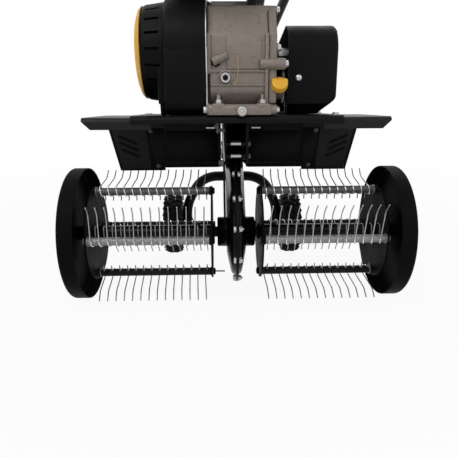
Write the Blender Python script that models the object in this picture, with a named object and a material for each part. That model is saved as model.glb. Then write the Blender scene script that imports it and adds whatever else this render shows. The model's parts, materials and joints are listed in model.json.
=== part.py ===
"""Walk-behind spring-tine lawn aerator: two tine reels on a chain case, a hood, an engine and handlebars.

Metres, +Z up, X across the machine, -Y its front. The frame's origin lies on the floor at the middle of the
machine's box. Inside the parent empty "machine" the reel axle is at the origin.
"""

import math

import bmesh
import bpy
from mathutils import Matrix, Vector

for old in list(bpy.data.objects):
    bpy.data.objects.remove(old, do_unlink=True)

# Running gap between pieces that touch
GAP = 0.0003

# Side dishes, which the machine stands on
DISH_RADIUS = 0.125
DISH_DEPTH = 0.029
DISH_WALL = 0.002
DISH_RIM_X = 0.2795

# Reels: end discs, tube, tine bars
INNER_DISC_X = 0.046
OUTER_DISC_X = 0.269
DISC_RADIUS = 0.089
DISC_THICK = 0.003
TUBE_RADIUS = 0.0138
AXLE_RADIUS = 0.0105
AXLE_HALF = 0.098
BAR_CIRCLE = 0.080
BAR_ROD_RADIUS = 0.005
SLEEVE_RADIUS = 0.0074
NUT_RADIUS = 0.0085
NUT_THICK = 0.005
BARS = 4
REEL_PHASE = math.radians(4)
PIN_X = 0.074
PIN_RADIUS = 0.003
PIN_HEAD = 0.0055
PIN_HEAD_THICK = 0.004

# Spring tines: wire, leg, knee, tip and tail
ROW_MARGIN = 0.8
KNEE_SHARE = 0.7
TINES = 14
WIRE_RADIUS = 0.0016
LEG_LENGTH = 0.0546
LEG_LEAN = math.radians(76)
TIP_LENGTH = 0.0206
TIP_LEAN = math.radians(45)
TAIL_LENGTH = 0.025
TAIL_END = 0.0105
TAIL_LEAN = math.radians(93)
TINE_SIDE_LEAN = 0.003
HOOK_TURN = math.radians(130)
HOOK_STEPS = 3
TAIL_SHIFT = 0.0024
WRAP_CLEAR = 0.0028
WRAP_HOLD = 0.5

# Chain case, a teardrop shell in two halves
CASE_HALF_WIDTH = 0.0175
CASE_LOW_RADIUS = 0.084
CASE_HIGH_RADIUS = 0.040
CASE_WALL = 0.0025
CASE_EDGE_X = 0.007
CASE_SHOULDER_X = 0.0105
CASE_SHOULDER = 0.005
CASE_SLOPE = 0.034
HIGH_BOSS_X = 0.0108
FLANGE_WIDTH = 0.013
FLANGE_THICK = 0.003
BOSS_RADIUS = 0.029
BOSS_END_X = 0.036
BEARING_RADIUS = 0.020
INPUT_Y = 0.250
INPUT_Z = 0.279
INPUT_RADIUS = 0.008
SPROCKET_THICK = 0.005
LOW_SPROCKET_RADIUS = 0.066
HIGH_SPROCKET_RADIUS = 0.024
LOW_TEETH = 22
HIGH_TEETH = 8
CHAIN_THICK = 0.007
CHAIN_WIDTH = 0.012
BAND_STEPS = 9
BAND_ARC = 235
CASE_BOLT_RADIUS = 0.003
CASE_BOLT_ANGLES = (262, 197)
CASE_BOLT_ALONG = 0.018

# Hood: a channel of sheet steel in three lengths
SHEET = 0.0025
DECK_TOP = 0.222
HOOD_FRONT = 0.076
HOOD_REAR = 0.126
LIP_DROP = 0.020
FLAP_BOTTOM = 0.104
DECK_FLAP_BOTTOM = 0.110
DECK_HALF = 0.180
FENDER_INNER = 0.146
FENDER_OUTER = 0.262
FLAP_SLANT = 0.026
CASE_SLOT_HALF = 0.0265
CASE_SLOT_ROOM = 0.002
GROOVES = 3
GROOVE_LENGTH = 0.044
GROOVE_WIDTH = 0.006
GROOVE_PRESS = 0.0012
GROOVE_LEAN = math.radians(22.5)
GROOVE_X = 0.2235
GROOVE_TOP = 0.1685
GROOVE_STEP_X = 0.00275
GROOVE_STEP_Z = 0.0138

# Frame plates beside the case, which carry deck, yoke and handlebar
PLATE_THICK = 0.005
PLATE_FRONT = 0.016
PLATE_LOW = 0.132
PAD_HALF = 0.060
PAD_FRONT = 0.050
PAD_LAP = 0.012
PAD_THICK = 0.004
BOLT_HEAD_RATIO = 1.8
BOLT_HEAD_THICK = 0.006
CROSS_BOLT_Y = -0.006
CROSS_BOLT_RADIUS = 0.004
CROSS_BOLT_HIGH = 0.170
CROSS_BOLT_LOW = 0.147
YOKE_PIVOT_Y = 0.296
YOKE_PIVOT_Z = 0.128
HANDLE_PIVOT_Y = 0.320
HANDLE_PIVOT_Z = 0.300
EAR_RADIUS = 0.017
PIVOT_RADIUS = 0.005

# Transport wheels on an arched tube
WHEEL_RADIUS = 0.0745
WHEEL_WIDTH = 0.044
WHEEL_X = 0.146
WHEEL_Y = 0.270
RIM_RADIUS = 0.044
STUB_RADIUS = 0.007
HUB_RADIUS = 0.016
YOKE_TUBE = 0.012
YOKE_LEG_X = 0.1105
YOKE_ELBOW_Z = -0.012
ARCH_HALF = 0.0765
ARCH_BEND = 0.040
ARCH_TOP = 0.070
ARCH_Y = 0.262
STEM_HALF = 0.012
STEM_FOOT_Y = 0.008
STEM_FOOT_Z = 0.004
TYRE_SHOULDER = 0.010
RIM_WEB = 0.006

# Engine
CRANK_Y = 0.014
CRANK_HEIGHT = 0.106
BLOCK_LEFT = 0.050
BLOCK_RIGHT = 0.052
BLOCK_FRONT = 0.066
BLOCK_REAR = 0.082
FOOT_FRONT = 0.080
FOOT_REAR = 0.101
FOOT_THICK = 0.018
COVER_RIGHT = 0.066
BLOCK_HEIGHT = 0.072
BLOCK_FRONT_SLOPE = 0.034
BLOCK_REAR_SLOPE = 0.030
BLOCK_SHOULDER = 0.020
FILLER_SEAT = (COVER_RIGHT + 0.005, 0.0055 - BLOCK_FRONT, DECK_TOP + 0.0475)
FILLER_TILT = math.radians(30)
FILLER_RADIUS = 0.0115
FILLER_LENGTH = 0.024
NECK_RADIUS = 0.008
NECK_LENGTH = 0.012
CAP_RADIUS = 0.0142
CAP_THICK = 0.012
CAP_SIDES = 12
SHROUD_LEFT = 0.122
SHROUD_RADIUS = 0.092
RECOIL_LEFT = 0.168
RECOIL_RADIUS = 0.084
CYLINDER_RADIUS = 0.046
CYLINDER_TILT = math.radians(25)
CYLINDER_LENGTH = 0.095
HEAD_LENGTH = 0.048
FINS = 4
FIN_START = 0.030
FIN_HEIGHT = 0.006
FIN_THICK = 0.003
HEAD_RADIUS = 0.034
CYLINDER_SIDES = 10
TANK_LOW = 0.232
TANK_HIGH = 0.312
TANK_X = (-0.118, 0.062)
TANK_Y = (-0.088, 0.052)
TANK_BRIM = 0.012
TANK_STAY_X = (-0.100, -0.086)
TANK_STAY_Y = (-0.030, 0.030)
FUEL_CAP_AT = (-0.030, -0.020)
FUEL_CAP_RADIUS = 0.026
FUEL_CAP_HIGH = 0.018
FUEL_CAP_SOFT = 0.004
CLEANER_X = (-0.135, -0.045)
CLEANER_Y = (0.075, 0.165)
CLEANER_LEG_X = (-0.070, -0.034)
SILENCER_X = (0.000, 0.100)
SILENCER_Y = (0.075, 0.185)
SILENCER_LEG_X = (0.030, 0.064)
TOP_ROUNDING = 0.020
TOP_LEG_Y = (0.105, 0.145)
TOP_LEG_LOW = 0.060
TOP_LEG_LAP = 0.030
CRANK_RADIUS = 0.0095
FLYWHEEL_RADIUS = 0.078
DRIVE_PULLEY_RADIUS = 0.030
DRIVEN_PULLEY_RADIUS = 0.038
PULLEY_X = 0.128
PULLEY_WIDTH = 0.018
BELT_WIDTH = 0.0125
BELT_THICK = 0.008
GROOVE_DEPTH = 0.007
GUARD_LEFT = 0.090
GUARD_RIGHT = 0.177
GUARD_TOE = 0.018
GUARD_CUT_X = 0.031
GUARD_CUT_Z = 0.027
GUARD_ROOM = 0.014
GUARD_WALL = 0.002

# Handlebars
HANDLE_TUBE = 0.0125
GRIP_RADIUS = 0.017
GRIP_LENGTH = 0.120
GRIP_HALF_SPAN = 0.270
GRIP_Y = 0.900
GRIP_Z = 0.800
GRIP_RUN = 0.198
GRIP_RISE = 0.050
LEVER_BACK = 0.026
LEVER_DROP = 0.024
LEVER_THICK = 0.006
LEVER_PIN = 0.003
LUG_THICK = 0.008
LUG_HALF = 0.009
LUG_REACH = 1.4
HANDLE_BENDS = ((0.030, 0.035, 0.030), (0.075, 0.050, 0.060))
HANDLE_BEND = 0.070
HANDLE_STEM_RADIUS = 0.013
HANDLE_STEM_END = ((0.042, 0.026), (0.030, 0.036))
CLUTCH_OUTLINE = (
    (-0.008, 0.007),
    (-0.008, -0.007),
    (0.030, -0.016),
    (0.112, -0.030),
    (0.122, -0.026),
    (0.030, -0.004),
)
THROTTLE_OUTLINE = (
    (-0.008, -0.007),
    (0.008, -0.007),
    (0.009, 0.010),
    (0.018, 0.042),
    (0.008, 0.042),
    (-0.008, 0.010),
)

# Where the machine's box puts the origin
SIDE_X = DISH_RIM_X + DISH_DEPTH
GRIP_END_Y = GRIP_Y + GRIP_RADIUS * GRIP_RISE / math.hypot(GRIP_RUN, GRIP_RISE)
CENTRE_Y = (GRIP_END_Y - DISH_RADIUS) / 2
CRANK_Z = DECK_TOP + GAP + CRANK_HEIGHT
WHEEL_Z = WHEEL_RADIUS - DISH_RADIUS


def empty(name, location, parent=None):
    obj = bpy.data.objects.new(name, None)
    obj.location = location
    obj.parent = parent
    bpy.context.collection.objects.link(obj)
    return obj


MACHINE = empty("machine", (0, -CENTRE_Y, DISH_RADIUS))
REEL_AXIS = empty("reel_axis", (0, 0, 0), MACHINE)
REEL_AXIS.rotation_euler.x = -REEL_PHASE


def material(name, colour, roughness, metallic):
    mat = bpy.data.materials.new(name)
    mat.use_nodes = True
    shader = mat.node_tree.nodes["Principled BSDF"]
    shader.inputs["Base Color"].default_value = (*colour, 1)
    shader.inputs["Roughness"].default_value = roughness
    shader.inputs["Metallic"].default_value = metallic
    return mat


PAINT = material("black_paint", (0.012, 0.012, 0.013), 0.35, 0.0)
PLASTIC = material("black_plastic", (0.02, 0.02, 0.02), 0.5, 0.0)
RUBBER = material("rubber", (0.015, 0.015, 0.015), 0.8, 0.0)
STEEL = material("bright_steel", (0.62, 0.62, 0.60), 0.3, 1.0)
ZINC = material("zinc_steel", (0.45, 0.45, 0.44), 0.4, 1.0)
CAST = material("cast_aluminium", (0.42, 0.39, 0.36), 0.5, 0.8)
YELLOW = material("yellow_plastic", (0.85, 0.58, 0.05), 0.4, 0.0)


def add(name, bm, mat, parent=None, pivot=(0, 0, 0), smooth=30):
    """Turns a bmesh in machine coordinates into an object whose origin is at pivot."""
    bmesh.ops.remove_doubles(bm, verts=bm.verts, dist=1e-6)
    bmesh.ops.recalc_face_normals(bm, faces=bm.faces)
    if bm.calc_volume(signed=True) < 0:
        bmesh.ops.reverse_faces(bm, faces=bm.faces)
    bmesh.ops.translate(bm, verts=bm.verts, vec=-Vector(pivot))
    mesh = bpy.data.meshes.new(name)
    bm.to_mesh(mesh)
    bm.free()
    mesh.shade_smooth()
    mesh.set_sharp_from_angle(angle=math.radians(smooth))
    mesh.materials.append(mat)
    obj = bpy.data.objects.new(name, mesh)
    obj.location = pivot
    obj.parent = parent or MACHINE
    bpy.context.collection.objects.link(obj)
    return obj


def helper(obj):
    obj.hide_render = True
    obj.display_type = "WIRE"
    return obj


def combine(obj, operation, *others):
    """Joins other solids to obj, or cuts them out of it."""
    for other in others:
        modifier = obj.modifiers.new(other.name, "BOOLEAN")
        modifier.operation = operation
        modifier.solver = "EXACT"
        modifier.object = helper(other)
    return obj


def turned(profile, sides, centre=(0, 0, 0), axis="X", closed=True):
    """A profile of (along, radius) points spun about an axis through centre."""
    bm = bmesh.new()
    verts = [bm.verts.new((a, 0, r)) for a, r in profile]
    pairs = list(zip(verts, verts[1:]))
    if closed:
        pairs.append((verts[-1], verts[0]))
    edges = [bm.edges.new(pair) for pair in pairs]
    bmesh.ops.spin(
        bm,
        geom=verts + edges,
        cent=(0, 0, 0),
        axis=(1, 0, 0),
        angle=2 * math.pi,
        steps=sides,
        use_merge=True,
    )
    bmesh.ops.remove_doubles(bm, verts=bm.verts, dist=1e-6)
    quarter = math.pi / 2
    turn = {"X": Matrix(), "Y": Matrix.Rotation(quarter, 4, "Z"), "Z": Matrix.Rotation(-quarter, 4, "Y")}
    bmesh.ops.transform(bm, matrix=Matrix.Translation(centre) @ turn[axis], verts=bm.verts)
    return bm


def rod(x0, x1, radius, sides, centre=(0, 0, 0), axis="X"):
    return turned([(x0, 0), (x0, radius), (x1, radius), (x1, 0)], sides, centre, axis, closed=False)


def ring(x0, x1, inner, outer, sides, centre=(0, 0, 0), axis="X"):
    return turned([(x0, inner), (x0, outer), (x1, outer), (x1, inner)], sides, centre, axis)


def bored(radius, sides):
    """The radius of a many-sided hole in which a round piece of a given radius can turn."""
    return (radius + GAP) / math.cos(math.pi / sides)


def prism(outline, lo, hi, axis="X"):
    """A closed 2D outline extruded along an axis. X takes (y, z), Y takes (x, z), Z takes (x, y)."""
    bm = bmesh.new()
    put = {"X": lambda a, b: (lo, a, b), "Y": lambda a, b: (a, lo, b), "Z": lambda a, b: (a, b, lo)}[axis]
    face = bm.faces.new([bm.verts.new(put(a, b)) for a, b in outline])
    grown = bmesh.ops.extrude_face_region(bm, geom=[face])["geom"]
    step = {"X": (hi - lo, 0, 0), "Y": (0, hi - lo, 0), "Z": (0, 0, hi - lo)}[axis]
    moved = [v for v in grown if isinstance(v, bmesh.types.BMVert)]
    bmesh.ops.translate(bm, verts=moved, vec=step)
    return bm


def block(x, y, z, rounding=0.0):
    """A box between pairs of coordinates, its upright edges rounded."""
    bm = prism([(x[0], y[0]), (x[1], y[0]), (x[1], y[1]), (x[0], y[1])], z[0], z[1], "Z")
    if rounding:
        upright = [e for e in bm.edges if abs(e.verts[0].co.z - e.verts[1].co.z) > 1e-6]
        bmesh.ops.bevel(bm, geom=upright, offset=rounding, segments=3, profile=0.5, affect="EDGES")
    return bm


def arc(centre, radius, start, end, steps):
    """Points of a round stretch, angles in degrees."""
    angles = [math.radians(start + (end - start) * i / steps) for i in range(steps + 1)]
    return [(centre[0] + radius * math.cos(a), centre[1] + radius * math.sin(a)) for a in angles]


def wrapped(low, low_radius, high, high_radius, steps):
    """The outline of a band pulled round two circles, as (y, z) points."""
    reach = Vector(high) - Vector(low)
    heading = math.degrees(math.atan2(reach.y, reach.x))
    lean = math.degrees(math.asin((low_radius - high_radius) / reach.length))
    first = arc(low, low_radius, heading + 90 - lean, heading + 270 + lean, steps)
    second = arc(high, high_radius, heading - 90 + lean, heading + 90 - lean, steps)
    return first + second


def round_outside(radius, steps):
    """A polygon's radius when its sides, in an arc of such steps, just clear a circle."""
    return radius / math.cos(math.radians(BAND_ARC / 2) / steps)


def rounded_path(points, bend, steps):
    """A path whose inner corners are replaced by arcs of a given bend radius."""
    points = [Vector(p) for p in points]
    path = [points[0]]
    for before, corner, after in zip(points, points[1:], points[2:]):
        into, out = (before - corner).normalized(), (after - corner).normalized()
        half = into.angle(out) / 2
        cut = min(bend / math.tan(half), (before - corner).length * 0.49, (after - corner).length * 0.49)
        start, end = corner + into * cut, corner + out * cut
        for i in range(steps + 1):
            t = i / steps
            path.append(start.lerp(corner, t).lerp(corner.lerp(end, t), t))
    return path + [points[-1]]


def tube(paths, radius, resolution=1, section=None):
    """A bmesh of round tubes along paths, or of tubes with another section."""
    data = bpy.data.curves.new("tube", "CURVE")
    data.dimensions = "3D"
    data.twist_mode = "MINIMUM"
    data.use_fill_caps = True
    if section:
        data.bevel_mode = "OBJECT"
        data.bevel_object = section
    else:
        data.bevel_depth = radius
        data.bevel_resolution = resolution
    for path in paths:
        spline = data.splines.new("POLY")
        spline.points.add(len(path) - 1)
        for point, place in zip(spline.points, path):
            point.co = (*place, 1)
    obj = bpy.data.objects.new("tube", data)
    bpy.context.collection.objects.link(obj)
    bpy.context.view_layer.update()
    mesh = bpy.data.meshes.new_from_object(obj.evaluated_get(bpy.context.evaluated_depsgraph_get()))
    bm = bmesh.new()
    bm.from_mesh(mesh)
    bmesh.ops.remove_doubles(bm, verts=bm.verts, dist=1e-6)
    bpy.data.objects.remove(obj, do_unlink=True)
    return bm


def merged(*parts):
    """Several bmeshes put into one, still as separate shells."""
    whole = bmesh.new()
    for part in parts:
        mesh = bpy.data.meshes.new("part")
        part.to_mesh(mesh)
        part.free()
        whole.from_mesh(mesh)
        bpy.data.meshes.remove(mesh)
    return whole


def baked(obj):
    """The evaluated mesh of an object with its modifiers, and the object removed."""
    bpy.context.view_layer.update()
    mesh = bpy.data.meshes.new_from_object(obj.evaluated_get(bpy.context.evaluated_depsgraph_get()))
    bpy.data.objects.remove(obj, do_unlink=True)
    return mesh


def tine_paths(x):
    """One spring tine on the front bar: the leg with its hook round the sleeve, and the tail."""
    outside = SLEEVE_RADIUS + WRAP_CLEAR
    inside = SLEEVE_RADIUS * WRAP_HOLD

    def place(radial, tangential, along):
        return Vector((x + along, -BAR_CIRCLE - radial, tangential))

    def heading(angle):
        return Vector((math.cos(angle), math.sin(angle)))

    start = LEG_LEAN - math.pi / 2
    knee = outside * heading(start) + LEG_LENGTH * heading(LEG_LEAN)
    tip = knee + TIP_LENGTH * heading(TIP_LEAN)
    hook = [outside * heading(start - HOOK_TURN * i / HOOK_STEPS) for i in range(HOOK_STEPS)]
    hook.append(inside * heading(start - HOOK_TURN))
    leg = [place(*tip, TINE_SIDE_LEAN - TAIL_SHIFT)]
    leg += [place(*knee, TINE_SIDE_LEAN * KNEE_SHARE - TAIL_SHIFT)]
    leg += [place(*p, -TAIL_SHIFT) for p in hook]
    root = heading(TAIL_LEAN + math.pi / 2)
    bend = outside * root + TAIL_LENGTH * heading(TAIL_LEAN)
    end = bend + TAIL_END * root
    tail = [place(*p, TAIL_SHIFT) for p in (inside * root, outside * root, bend, end)]
    return leg, tail


def least_gap(leg, tail):
    """The least clearance between a tine's leg and its tail, outside the sleeve."""

    def fine(path):
        points = [a.lerp(b, i / 8) for a, b in zip(path, path[1:]) for i in range(9)]
        return [p for p in points if (p.yz - Vector((-BAR_CIRCLE, 0))).length > SLEEVE_RADIUS]

    return min((p - q).length for p in fine(leg) for q in fine(tail)) - 2 * WIRE_RADIUS


def tine_row():
    """A bar with its sleeves, nuts and tines, as one solid on the front of the right reel."""
    inner, outer = INNER_DISC_X, OUTER_DISC_X
    half = DISC_THICK / 2 + GAP
    profile = [
        (inner - half - NUT_THICK, 0),
        (inner - half - NUT_THICK, NUT_RADIUS),
        (inner - half, NUT_RADIUS),
        (inner - half, BAR_ROD_RADIUS),
        (inner + half, BAR_ROD_RADIUS),
        (inner + half, SLEEVE_RADIUS),
        (outer - half, SLEEVE_RADIUS),
        (outer - half, BAR_ROD_RADIUS),
        (outer + half, BAR_ROD_RADIUS),
        (outer + half, NUT_RADIUS),
        (outer + half + NUT_THICK, NUT_RADIUS),
        (outer + half + NUT_THICK, 0),
    ]
    bar = add("bar", turned(profile, 6, (0, -BAR_CIRCLE, 0), closed=False), STEEL)
    section_data = bpy.data.curves.new("wire_section", "CURVE")
    spline = section_data.splines.new("POLY")
    spline.points.add(2)
    spline.use_cyclic_u = True
    for i, point in enumerate(spline.points):
        at = 2 * math.pi * i / 3
        point.co = (WIRE_RADIUS * math.cos(at), WIRE_RADIUS * math.sin(at), 0, 1)
    section = helper(bpy.data.objects.new("wire_section", section_data))
    bpy.context.collection.objects.link(section)
    pitch = (outer - inner) / (TINES + 2 * ROW_MARGIN - 1)
    tines = [tine_paths(inner + pitch * (i + ROW_MARGIN)) for i in range(TINES)]
    print(f"tine wire: least gap to itself {1000 * least_gap(*tines[0]):.2f} mm")
    paths = [path for tine in tines for path in tine]
    wires = add("wires", tube(paths, WIRE_RADIUS, section=section), STEEL)
    mesh = baked(combine(bar, "UNION", wires))
    bpy.data.objects.remove(wires, do_unlink=True)
    return mesh


def reels():
    rows = tine_row()
    span = INNER_DISC_X + OUTER_DISC_X
    for side, name in ((-1, "left"), (1, "right")):
        for i in range(BARS):
            row = bpy.data.objects.new(f"{name}_tine_row_{i + 1}", rows)
            row.location.x = 0 if side > 0 else -span
            row.rotation_euler.x = -2 * math.pi * i / BARS
            row.parent = REEL_AXIS
            bpy.context.collection.objects.link(row)
        reel_frame(name, side)
        dish(name, side)
        hub_pin(name, side)
    shaft = add("reel_axle", rod(-AXLE_HALF, AXLE_HALF, AXLE_RADIUS, 12), STEEL, REEL_AXIS)
    combine(shaft, "DIFFERENCE", *[pin_hole(side) for side in (-1, 1)])
    wheel = gear("axle_sprocket", LOW_TEETH, LOW_SPROCKET_RADIUS, bored(AXLE_RADIUS, 12), (0, 0))
    wheel.parent = REEL_AXIS


def reel_frame(name, side):
    bore = bored(AXLE_RADIUS, 20)
    half = DISC_THICK / 2
    end = SIDE_X - DISH_WALL - GAP
    profile = [
        (INNER_DISC_X - half, bore),
        (INNER_DISC_X - half, DISC_RADIUS),
        (INNER_DISC_X + half, DISC_RADIUS),
        (INNER_DISC_X + half, TUBE_RADIUS),
        (OUTER_DISC_X - half, TUBE_RADIUS),
        (OUTER_DISC_X - half, DISC_RADIUS),
        (OUTER_DISC_X + half, DISC_RADIUS),
        (OUTER_DISC_X + half, TUBE_RADIUS),
        (end, TUBE_RADIUS),
        (end, bore),
    ]
    obj = add(f"{name}_reel_frame", turned([(side * x, r) for x, r in profile], 20), PAINT, REEL_AXIS)
    holes = []
    for i in range(BARS):
        turn = Matrix.Rotation(2 * math.pi * i / BARS, 4, "X")
        at = turn @ Vector((0, -BAR_CIRCLE, 0))
        holes.append(rod(side * INNER_DISC_X * 0.8, side * OUTER_DISC_X * 1.1, BAR_ROD_RADIUS + GAP, 6, at))
        bmesh.ops.rotate(holes[-1], verts=holes[-1].verts, cent=at, matrix=turn.to_3x3())
    cutter = add(f"{name}_bar_holes", merged(*holes), PAINT, REEL_AXIS)
    return combine(obj, "DIFFERENCE", cutter, pin_hole(side))


def pin_hole(side):
    return add("pin_hole", rod(-0.03, 0.03, PIN_RADIUS + GAP, 8, (side * PIN_X, 0, 0), "Z"), STEEL, REEL_AXIS)


def hub_pin(name, side):
    end = -TUBE_RADIUS - PIN_HEAD_THICK
    head = TUBE_RADIUS + GAP + 0.0006
    top = head + PIN_HEAD_THICK
    profile = [(end, 0), (end, PIN_RADIUS), (head, PIN_RADIUS), (head, PIN_HEAD), (top, PIN_HEAD), (top, 0)]
    bm = turned(profile, 8, (side * PIN_X, 0, 0), "Z", closed=False)
    add(f"{name}_hub_pin", bm, STEEL, REEL_AXIS)


def dish(name, side):
    """A shallow pan, open towards the tines, on a spigot in the reel's tube."""
    corner = 0.005
    spigot = AXLE_RADIUS - GAP
    outer, inner = SIDE_X, SIDE_X - DISH_WALL
    profile = [
        (outer, 0),
        (outer, DISH_RADIUS - corner),
        (outer - 0.3 * corner, DISH_RADIUS - 0.3 * corner),
        (outer - corner, DISH_RADIUS),
        (DISH_RIM_X, DISH_RADIUS),
        (DISH_RIM_X, DISH_RADIUS - DISH_WALL),
        (inner - corner, DISH_RADIUS - DISH_WALL),
        (inner, DISH_RADIUS - corner - DISH_WALL),
        (inner, spigot),
        (inner - 0.03, spigot),
        (inner - 0.03, 0),
    ]
    obj = add(f"{name}_dish", turned([(side * x, r) for x, r in profile], 32, closed=False), PAINT, REEL_AXIS)
    obj.rotation_euler.x = REEL_PHASE


def gear(name, teeth, radius, bore, centre):
    """A chain wheel with blunt teeth."""
    depth = 0.004
    outline = []
    for i in range(2 * teeth):
        r = radius if i % 2 else radius - depth
        at = math.pi * i / teeth
        outline.append((centre[0] + r * math.cos(at), centre[1] + r * math.sin(at)))
    half = SPROCKET_THICK / 2
    obj = add(name, prism(outline, -half, half), ZINC, pivot=(0, *centre))
    hole = add(f"{name}_bore", rod(-2 * half, 2 * half, bore, 12, (0, *centre)), ZINC)
    return combine(obj, "DIFFERENCE", hole)


def case_half(name, side):
    """One pressed half of the chain case: body, flange, open at the seam, with bearing bosses."""
    low, high = (0, 0), (INPUT_Y, INPUT_Z)
    steps = 7

    def loop(x, grow):
        band = wrapped(low, CASE_LOW_RADIUS + grow, high, CASE_HIGH_RADIUS + grow, steps)
        return [(side * x, y, z) for y, z in band]

    rings = [
        loop(CASE_HALF_WIDTH, -CASE_SLOPE),
        loop(CASE_SHOULDER_X, -CASE_SHOULDER),
        loop(CASE_EDGE_X, 0),
        loop(FLANGE_THICK, 0),
        loop(FLANGE_THICK, FLANGE_WIDTH),
        loop(GAP / 2, FLANGE_WIDTH),
        loop(GAP / 2, -CASE_WALL),
        loop(CASE_EDGE_X, -CASE_WALL),
        loop(CASE_SHOULDER_X - CASE_WALL, -CASE_SHOULDER - CASE_WALL),
        loop(CASE_HALF_WIDTH - CASE_WALL, -CASE_SLOPE - CASE_WALL),
    ]
    bm = bmesh.new()
    loops = [[bm.verts.new(p) for p in points] for points in rings]
    for first, second in zip(loops, loops[1:]):
        for i in range(len(first)):
            bm.faces.new((first[i - 1], first[i], second[i], second[i - 1]))
    bm.faces.new(loops[0])
    bm.faces.new(loops[-1])
    obj = add(f"case_{name}_half", bm, PAINT)
    wall = CASE_HALF_WIDTH - CASE_WALL
    seats = ((low, BEARING_RADIUS, wall + 0.0005), (high, bored(INPUT_RADIUS, 12), HIGH_BOSS_X))
    for centre, bore, root in seats:
        at = (0, *centre)
        boss = add("boss", ring(side * root, side * BOSS_END_X, bore, BOSS_RADIUS, 12, at), PAINT)
        pocket = add("pocket", rod(side * (wall - 0.01), side * (BOSS_END_X + 0.01), bore, 12, at), PAINT)
        combine(obj, "UNION", boss)
        combine(obj, "DIFFERENCE", pocket)
    holes = [rod(-0.01, 0.01, CASE_BOLT_RADIUS + GAP, 8, (0, y, z)) for y, z in case_bolt_places()]
    combine(obj, "DIFFERENCE", add("flange_holes", merged(*holes), PAINT))


def case_edge():
    """The direction square to the straight front edge of the case."""
    reach = Vector((INPUT_Y, INPUT_Z))
    taper = math.asin((CASE_LOW_RADIUS - CASE_HIGH_RADIUS) / reach.length)
    swing = math.atan2(reach.y, reach.x) + math.pi / 2 - taper
    return Vector((math.cos(swing), math.sin(swing)))


def case_front(z):
    """Where the flange of the case's front edge is at a height."""
    edge = case_edge()
    return (CASE_LOW_RADIUS + FLANGE_WIDTH - z * edge.y) / edge.x


def case_bolt_places():
    """Flange bolts at the foot of the case and up its front edge."""
    reach = CASE_LOW_RADIUS + FLANGE_WIDTH / 2
    places = [Vector(arc((0, 0), reach, angle, angle, 1)[0]) for angle in CASE_BOLT_ANGLES]
    edge = case_edge()
    places.append(edge * reach + Vector((edge.y, -edge.x)) * CASE_BOLT_ALONG)
    return places


def case_parts():
    case_half("left", -1)
    case_half("right", 1)
    for side, name in ((-1, "left"), (1, "right")):
        x0, x1 = side * (CASE_HALF_WIDTH - 0.001), side * (BOSS_END_X - 0.001)
        add(f"{name}_axle_bearing", ring(x0, x1, bored(AXLE_RADIUS, 12), BEARING_RADIUS - GAP, 12), STEEL)
    thick = CHAIN_THICK
    low_r = round_outside(LOW_SPROCKET_RADIUS + GAP, BAND_STEPS)
    high_r = round_outside(HIGH_SPROCKET_RADIUS + GAP, BAND_STEPS)
    ends = ((0, 0), (INPUT_Y, INPUT_Z))
    outside = wrapped(ends[0], low_r + thick, ends[1], high_r + thick, BAND_STEPS)
    chain = prism(outside, -CHAIN_WIDTH / 2, CHAIN_WIDTH / 2)
    hollow = prism(wrapped(ends[0], low_r, ends[1], high_r, BAND_STEPS), -CHAIN_WIDTH, CHAIN_WIDTH)
    combine(add("drive_chain", chain, ZINC), "DIFFERENCE", add("chain_hollow", hollow, ZINC))
    pivot = (0, INPUT_Y, INPUT_Z)
    shaft_end = PULLEY_X + PULLEY_WIDTH / 2 + 0.006
    add("input_shaft", rod(-BOSS_END_X, shaft_end, INPUT_RADIUS, 12, pivot), STEEL, pivot=pivot)
    gear("input_sprocket", HIGH_TEETH, HIGH_SPROCKET_RADIUS, bored(INPUT_RADIUS, 12), (INPUT_Y, INPUT_Z))
    for i, (y, z) in enumerate(case_bolt_places()):
        half = FLANGE_THICK + GAP
        head = 0.0055
        profile = [(-half - 0.004, 0), (-half - 0.004, head), (-half, head), (-half, CASE_BOLT_RADIUS)]
        profile += [(half, CASE_BOLT_RADIUS), (half, head), (half + 0.005, head), (half + 0.005, 0)]
        add(f"case_bolt_{i + 1}", turned(profile, 6, (0, y, z), closed=False), STEEL)


def channel(x0, x1, grow, bottom):
    """The hood's cross-section, front lip, top and rear flap, between two x values."""
    top = DECK_TOP - SHEET - GAP + grow
    front = HOOD_FRONT + grow
    rear = HOOD_REAR + grow
    outer = [(-front, top - LIP_DROP), (-front, top - 0.006), (-front + 0.006, top)]
    outer += [(rear - 0.012, top), (rear, top - 0.012), (rear, bottom)]
    inner = [(rear - SHEET, bottom), (rear - SHEET, top - 0.012 - SHEET * 0.4)]
    inner += [(rear - 0.012 - SHEET * 0.4, top - SHEET), (-front + 0.006 + SHEET * 0.4, top - SHEET)]
    inner += [(-front + SHEET, top - 0.006 - SHEET * 0.4), (-front + SHEET, top - LIP_DROP)]
    return prism(outer + inner, x0, x1)


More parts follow.
